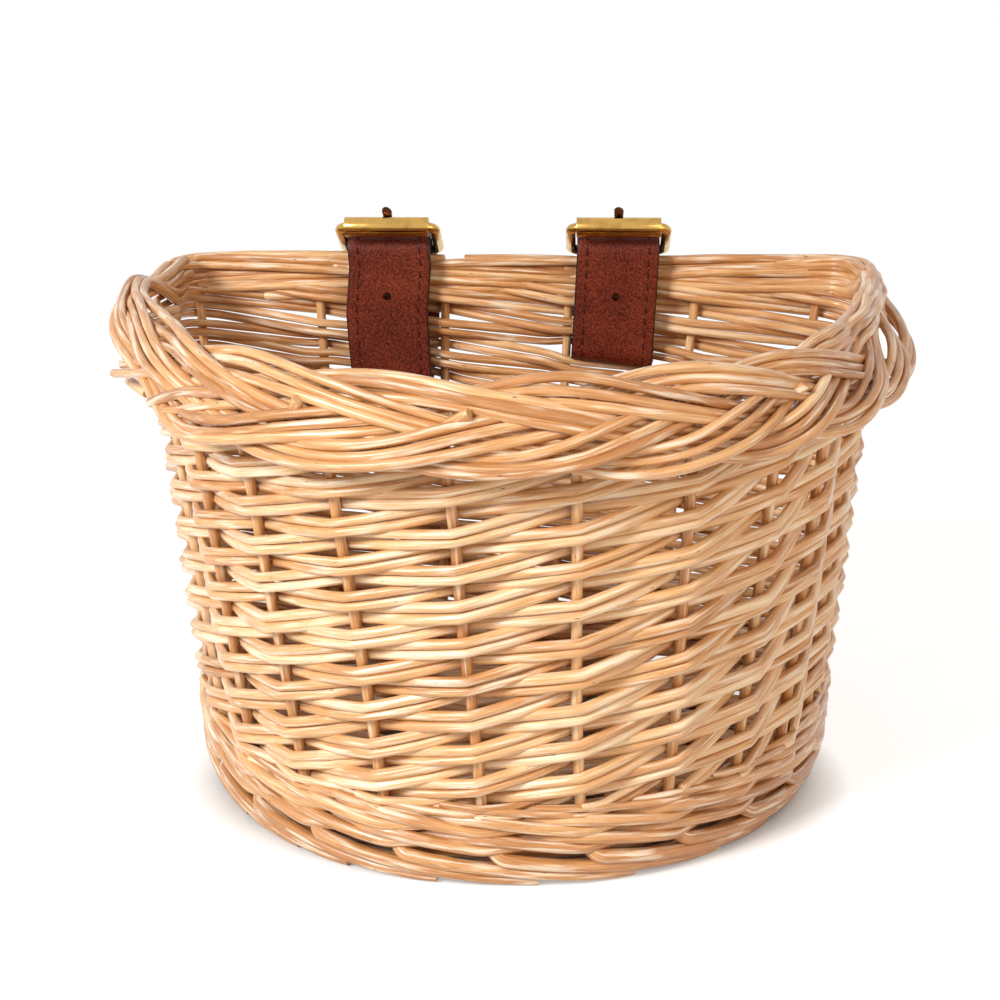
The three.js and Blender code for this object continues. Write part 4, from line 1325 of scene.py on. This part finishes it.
# The thread runs along both edges and shows on both faces
def addStitching(side, line):
    deselect()
    bpy.ops.mesh.primitive_uv_sphere_add(segments=6, ring_count=6, radius=1)
    one = bpy.context.object
    setMode("EDIT")
    bpy.ops.mesh.select_all(action="SELECT")
    bpy.ops.transform.resize(value=(stitch["radius"] * 1.1, stitch["radius"], stitch["halfLength"]))
    setMode("OBJECT")
    shape = np.array([vertex.co[:] for vertex in one.data.vertices])
    shapeFaces = [list(face.vertices) for face in one.data.polygons]
    bpy.data.objects.remove(one)
    edge = 1 - stitch["inset"] / (strapShape["width"] / 2)
    points, faces, sunk = [], [], []
    for s in np.arange(stitch["start"], line["neckStart"] - stitch["endBeforeNeck"], stitch["pitch"]):
        for a in (-edge, edge):
            centre = strapSurface(line, s, a)
            ahead, behind = [strapSurface(line, s + step, a) for step in (stitch["reach"], -stitch["reach"])]
            along = unit(ahead - behind)
            aside = unit(strapSurface(line, s, a + 0.02) - strapSurface(line, s, a - 0.02))
            out = unit(np.cross(along, aside))
            lie = unit(along + stitch["slant"] * aside)
            for face in (-1, 1):
                place = centre + out * face * (strapShape["thickness"] / 2 - stitch["sink"])
                first = len(points) * len(shape)
                points.append(place + shape[:, :1] * aside + shape[:, 1:2] * out + shape[:, 2:] * lie)
                faces += [[first + corner for corner in each] for each in shapeFaces]
                sunk.append(np.abs(shape[:, 2]) / stitch["halfLength"])
    attributes = [("sunk", "FLOAT", "POINT", np.concatenate(sunk))]
    piece = addPiece(f"stitching_{side}", points, faces, attributes)
    setMode("EDIT")
    bpy.ops.mesh.select_all(action="SELECT")
    bpy.ops.mesh.normals_make_consistent(inside=False)
    setMode("OBJECT")
    bpy.ops.object.shade_smooth()
    dress(piece, threadMaterial, "root", [])


# The frame is a wire bent to a rectangle
def addBuckleFrame(side, x):
    deselect()
    bpy.ops.mesh.primitive_plane_add(size=1)
    setMode("EDIT")
    bpy.ops.mesh.select_all(action="SELECT")
    bpy.ops.transform.resize(value=(2 * buckle["halfWidth"], buckle["length"], 1))
    bpy.ops.mesh.bevel(offset=buckle["corner"], segments=6, affect="VERTICES")
    bpy.ops.mesh.select_all(action="SELECT")
    bpy.ops.mesh.delete(type="ONLY_FACE")
    setMode("OBJECT")
    bpy.ops.object.convert(target="CURVE")
    wire = bpy.context.object
    wire.data.bevel_depth = buckle["wireRadius"]
    wire.data.bevel_resolution = 4
    bpy.ops.object.convert(target="MESH")
    wire = bpy.context.object
    wire.name = f"buckleWire_{side}"
    wire.location = (x, *(roller + heel) / 2)
    wire.rotation_euler = (-buckle["tilt"], 0, 0)
    bpy.ops.object.transform_apply(location=True, rotation=True, scale=True)
    bpy.ops.object.shade_smooth()
    dress(wire, brassMaterial, f"{side}_frame", [f"buckle_frame_{side}"])


# The roller is a strip of sheet rolled to a tube, with an open seam
def addRoller(side, x):
    deselect()
    bpy.ops.mesh.primitive_cylinder_add(
        vertices=48, radius=buckle["rollerRadius"], depth=buckle["rollerLength"], end_fill_type="NOTHING",
        location=(x, *roller), rotation=(0, math.pi / 2, 0),
    )
    tube = bpy.context.object
    tube.name = f"rollerTube_{side}"
    bpy.ops.object.transform_apply(location=True, rotation=True, scale=True)
    setMode("EDIT")
    bpy.ops.mesh.select_mode(type="FACE")
    bpy.ops.mesh.select_all(action="DESELECT")
    setMode("OBJECT")
    seam = Vector((0, -math.cos(buckle["seamTurn"]), math.sin(buckle["seamTurn"])))
    facing = max(tube.data.polygons, key=lambda face: face.normal.dot(seam))
    facing.select = True
    setMode("EDIT")
    bpy.ops.mesh.delete(type="FACE")
    setMode("OBJECT")
    applied(tube, "SOLIDIFY", {"thickness": buckle["rollerWall"], "offset": -1})
    bevelled(tube, buckle["rollerBevel"], 40)
    bpy.ops.object.shade_smooth_by_angle(angle=math.radians(35))
    dress(tube, brassMaterial, f"{side}_roller", [f"roller_{side}"])


# The prong is a wire curled round the heel bar
def addProng(side, x):
    reach = math.sqrt(buckle["length"] ** 2 - prongClear ** 2) + buckle["prongPast"]
    start, end = [prongAngle - turn for turn in buckle["eyeTurn"]]
    curl = arcPoints(heel, buckle["eyeRadius"], start, end)
    shank = heel + direction(prongAngle) * np.linspace(buckle["shankStart"], reach, 14)[:, None]
    path = np.concatenate([curl, shank])
    radius = np.concatenate([
        np.full(len(curl), buckle["eyeWire"]),
        np.linspace(buckle["prongRadius"], buckle["prongTip"], len(shank)),
    ])
    wire = makeRod(np.insert(path, 0, x, axis=1), radius, 0.5)
    rodPiece(f"prongWire_{side}", [wire], prongMaterial, [f"prong_{side}"], f"{side}_prong")


for strap in straps:
    addStrap(strap)
    for addPart in (addBuckleFrame, addRoller, addProng):
        addPart(strap["side"], strap["x"])
print("straps and buckles made")


# Floor and light: a pale floor that turns to pure white away from the object, with its glow
# faded out in an ellipse round the foot as a painted shadow under the basket, a white world,
# a key lamp on the front left and a weaker, warm one on the front right
stage = {
    "floorSize": 12,
    "floor": "CFCFCD",
    "roughness": 0.9,
    "glow": 0.72,
    "shadeWidth": 100 * mm,
    "shadeDepth": 76 * mm,
    "shadeY": 2 * mm,
    "shadeEdge": (0.82, 1.0),
    "whiteEdge": (0.3, 0.75),
    "world": 0.31,
    "white": (1, 1, 1, 1),
    "aim": (0, 0, 0.08),
}
lamps = [
    {"name": "keyLamp", "place": (-0.74, -0.79, 0.69), "size": 0.32, "power": 15.5, "tint": "FFFFFF"},
    {"name": "fillLamp", "place": (0.85, -0.75, 0.5), "size": 0.9, "power": 5.8, "tint": "FFEAD2"},
]


def seenDirectly(tree):
    path = addNode(tree, "LightPath", {}).outputs
    seen = maths(tree, "MAXIMUM", path[0], path["Is Glossy Ray"])
    return maths(tree, "MAXIMUM", seen, path["Is Transmission Ray"])


def addFloor():
    bpy.ops.mesh.primitive_plane_add(size=stage["floorSize"], location=(0, 0, 0))
    floor = bpy.context.object
    floor.name = "paleFloor"
    material, tree = newMaterial("paleFloor")
    place = objectPlace(tree)
    foot = addNode(tree, "Mapping", {
        "Vector": place,
        "Location": (0, -stage["shadeY"] / stage["shadeDepth"], 0),
        "Scale": (1 / stage["shadeWidth"], 1 / stage["shadeDepth"], 0),
    })
    beside, away = [
        addNode(tree, "VectorMath", {0: vector}, operation="LENGTH").outputs["Value"]
        for vector in (foot.outputs[0], place)
    ]
    # painted shadow: the glow fades to nothing in an ellipse round the basket's foot
    under = ranged(tree, beside, *stage["shadeEdge"], 0, stage["glow"])
    far = ranged(tree, away, *stage["whiteEdge"], 0, 1)
    look = {"Base Color": colour(stage["floor"]), "Roughness": stage["roughness"]}
    pale = addNode(tree, "BsdfPrincipled", look).outputs[0]
    glow, white = [
        addNode(tree, "Emission", {"Color": stage["white"], "Strength": strength}).outputs[0]
        for strength in (under, 1)
    ]
    lit = addNode(tree, "AddShader", {0: pale, 1: glow}).outputs[0]
    paper = addNode(tree, "MixShader", {0: far, 1: lit, 2: white}).outputs[0]
    surface = addNode(tree, "MixShader", {0: seenDirectly(tree), 1: pale, 2: paper})
    addNode(tree, "OutputMaterial", {"Surface": surface.outputs[0]})
    floor.data.materials.append(material)


def addWorld():
    world = bpy.data.worlds.new("whiteWorld")
    world.use_nodes = True
    bpy.context.scene.world = world
    tree = world.node_tree
    tree.nodes.clear()
    strength = ranged(tree, seenDirectly(tree), 0, 1, stage["world"], 1)
    sky = addNode(tree, "Background", {"Color": stage["white"], "Strength": strength})
    addNode(tree, "OutputWorld", {"Surface": sky.outputs[0]})


def addLamp(lamp):
    bpy.ops.object.light_add(type="AREA", location=lamp["place"])
    light = bpy.context.object
    light.name = lamp["name"]
    light.data.size = lamp["size"]
    light.data.energy = lamp["power"]
    light.data.color = colour(lamp["tint"])[:3]
    light.rotation_mode = "QUATERNION"
    toward = Vector(stage["aim"]) - Vector(lamp["place"])
    light.rotation_quaternion = toward.to_track_quat("-Z", "Y")


addFloor()
addWorld()
for lamp in lamps:
    addLamp(lamp)
bpy.context.scene.view_settings.view_transform = "Standard"
print("stage lit")
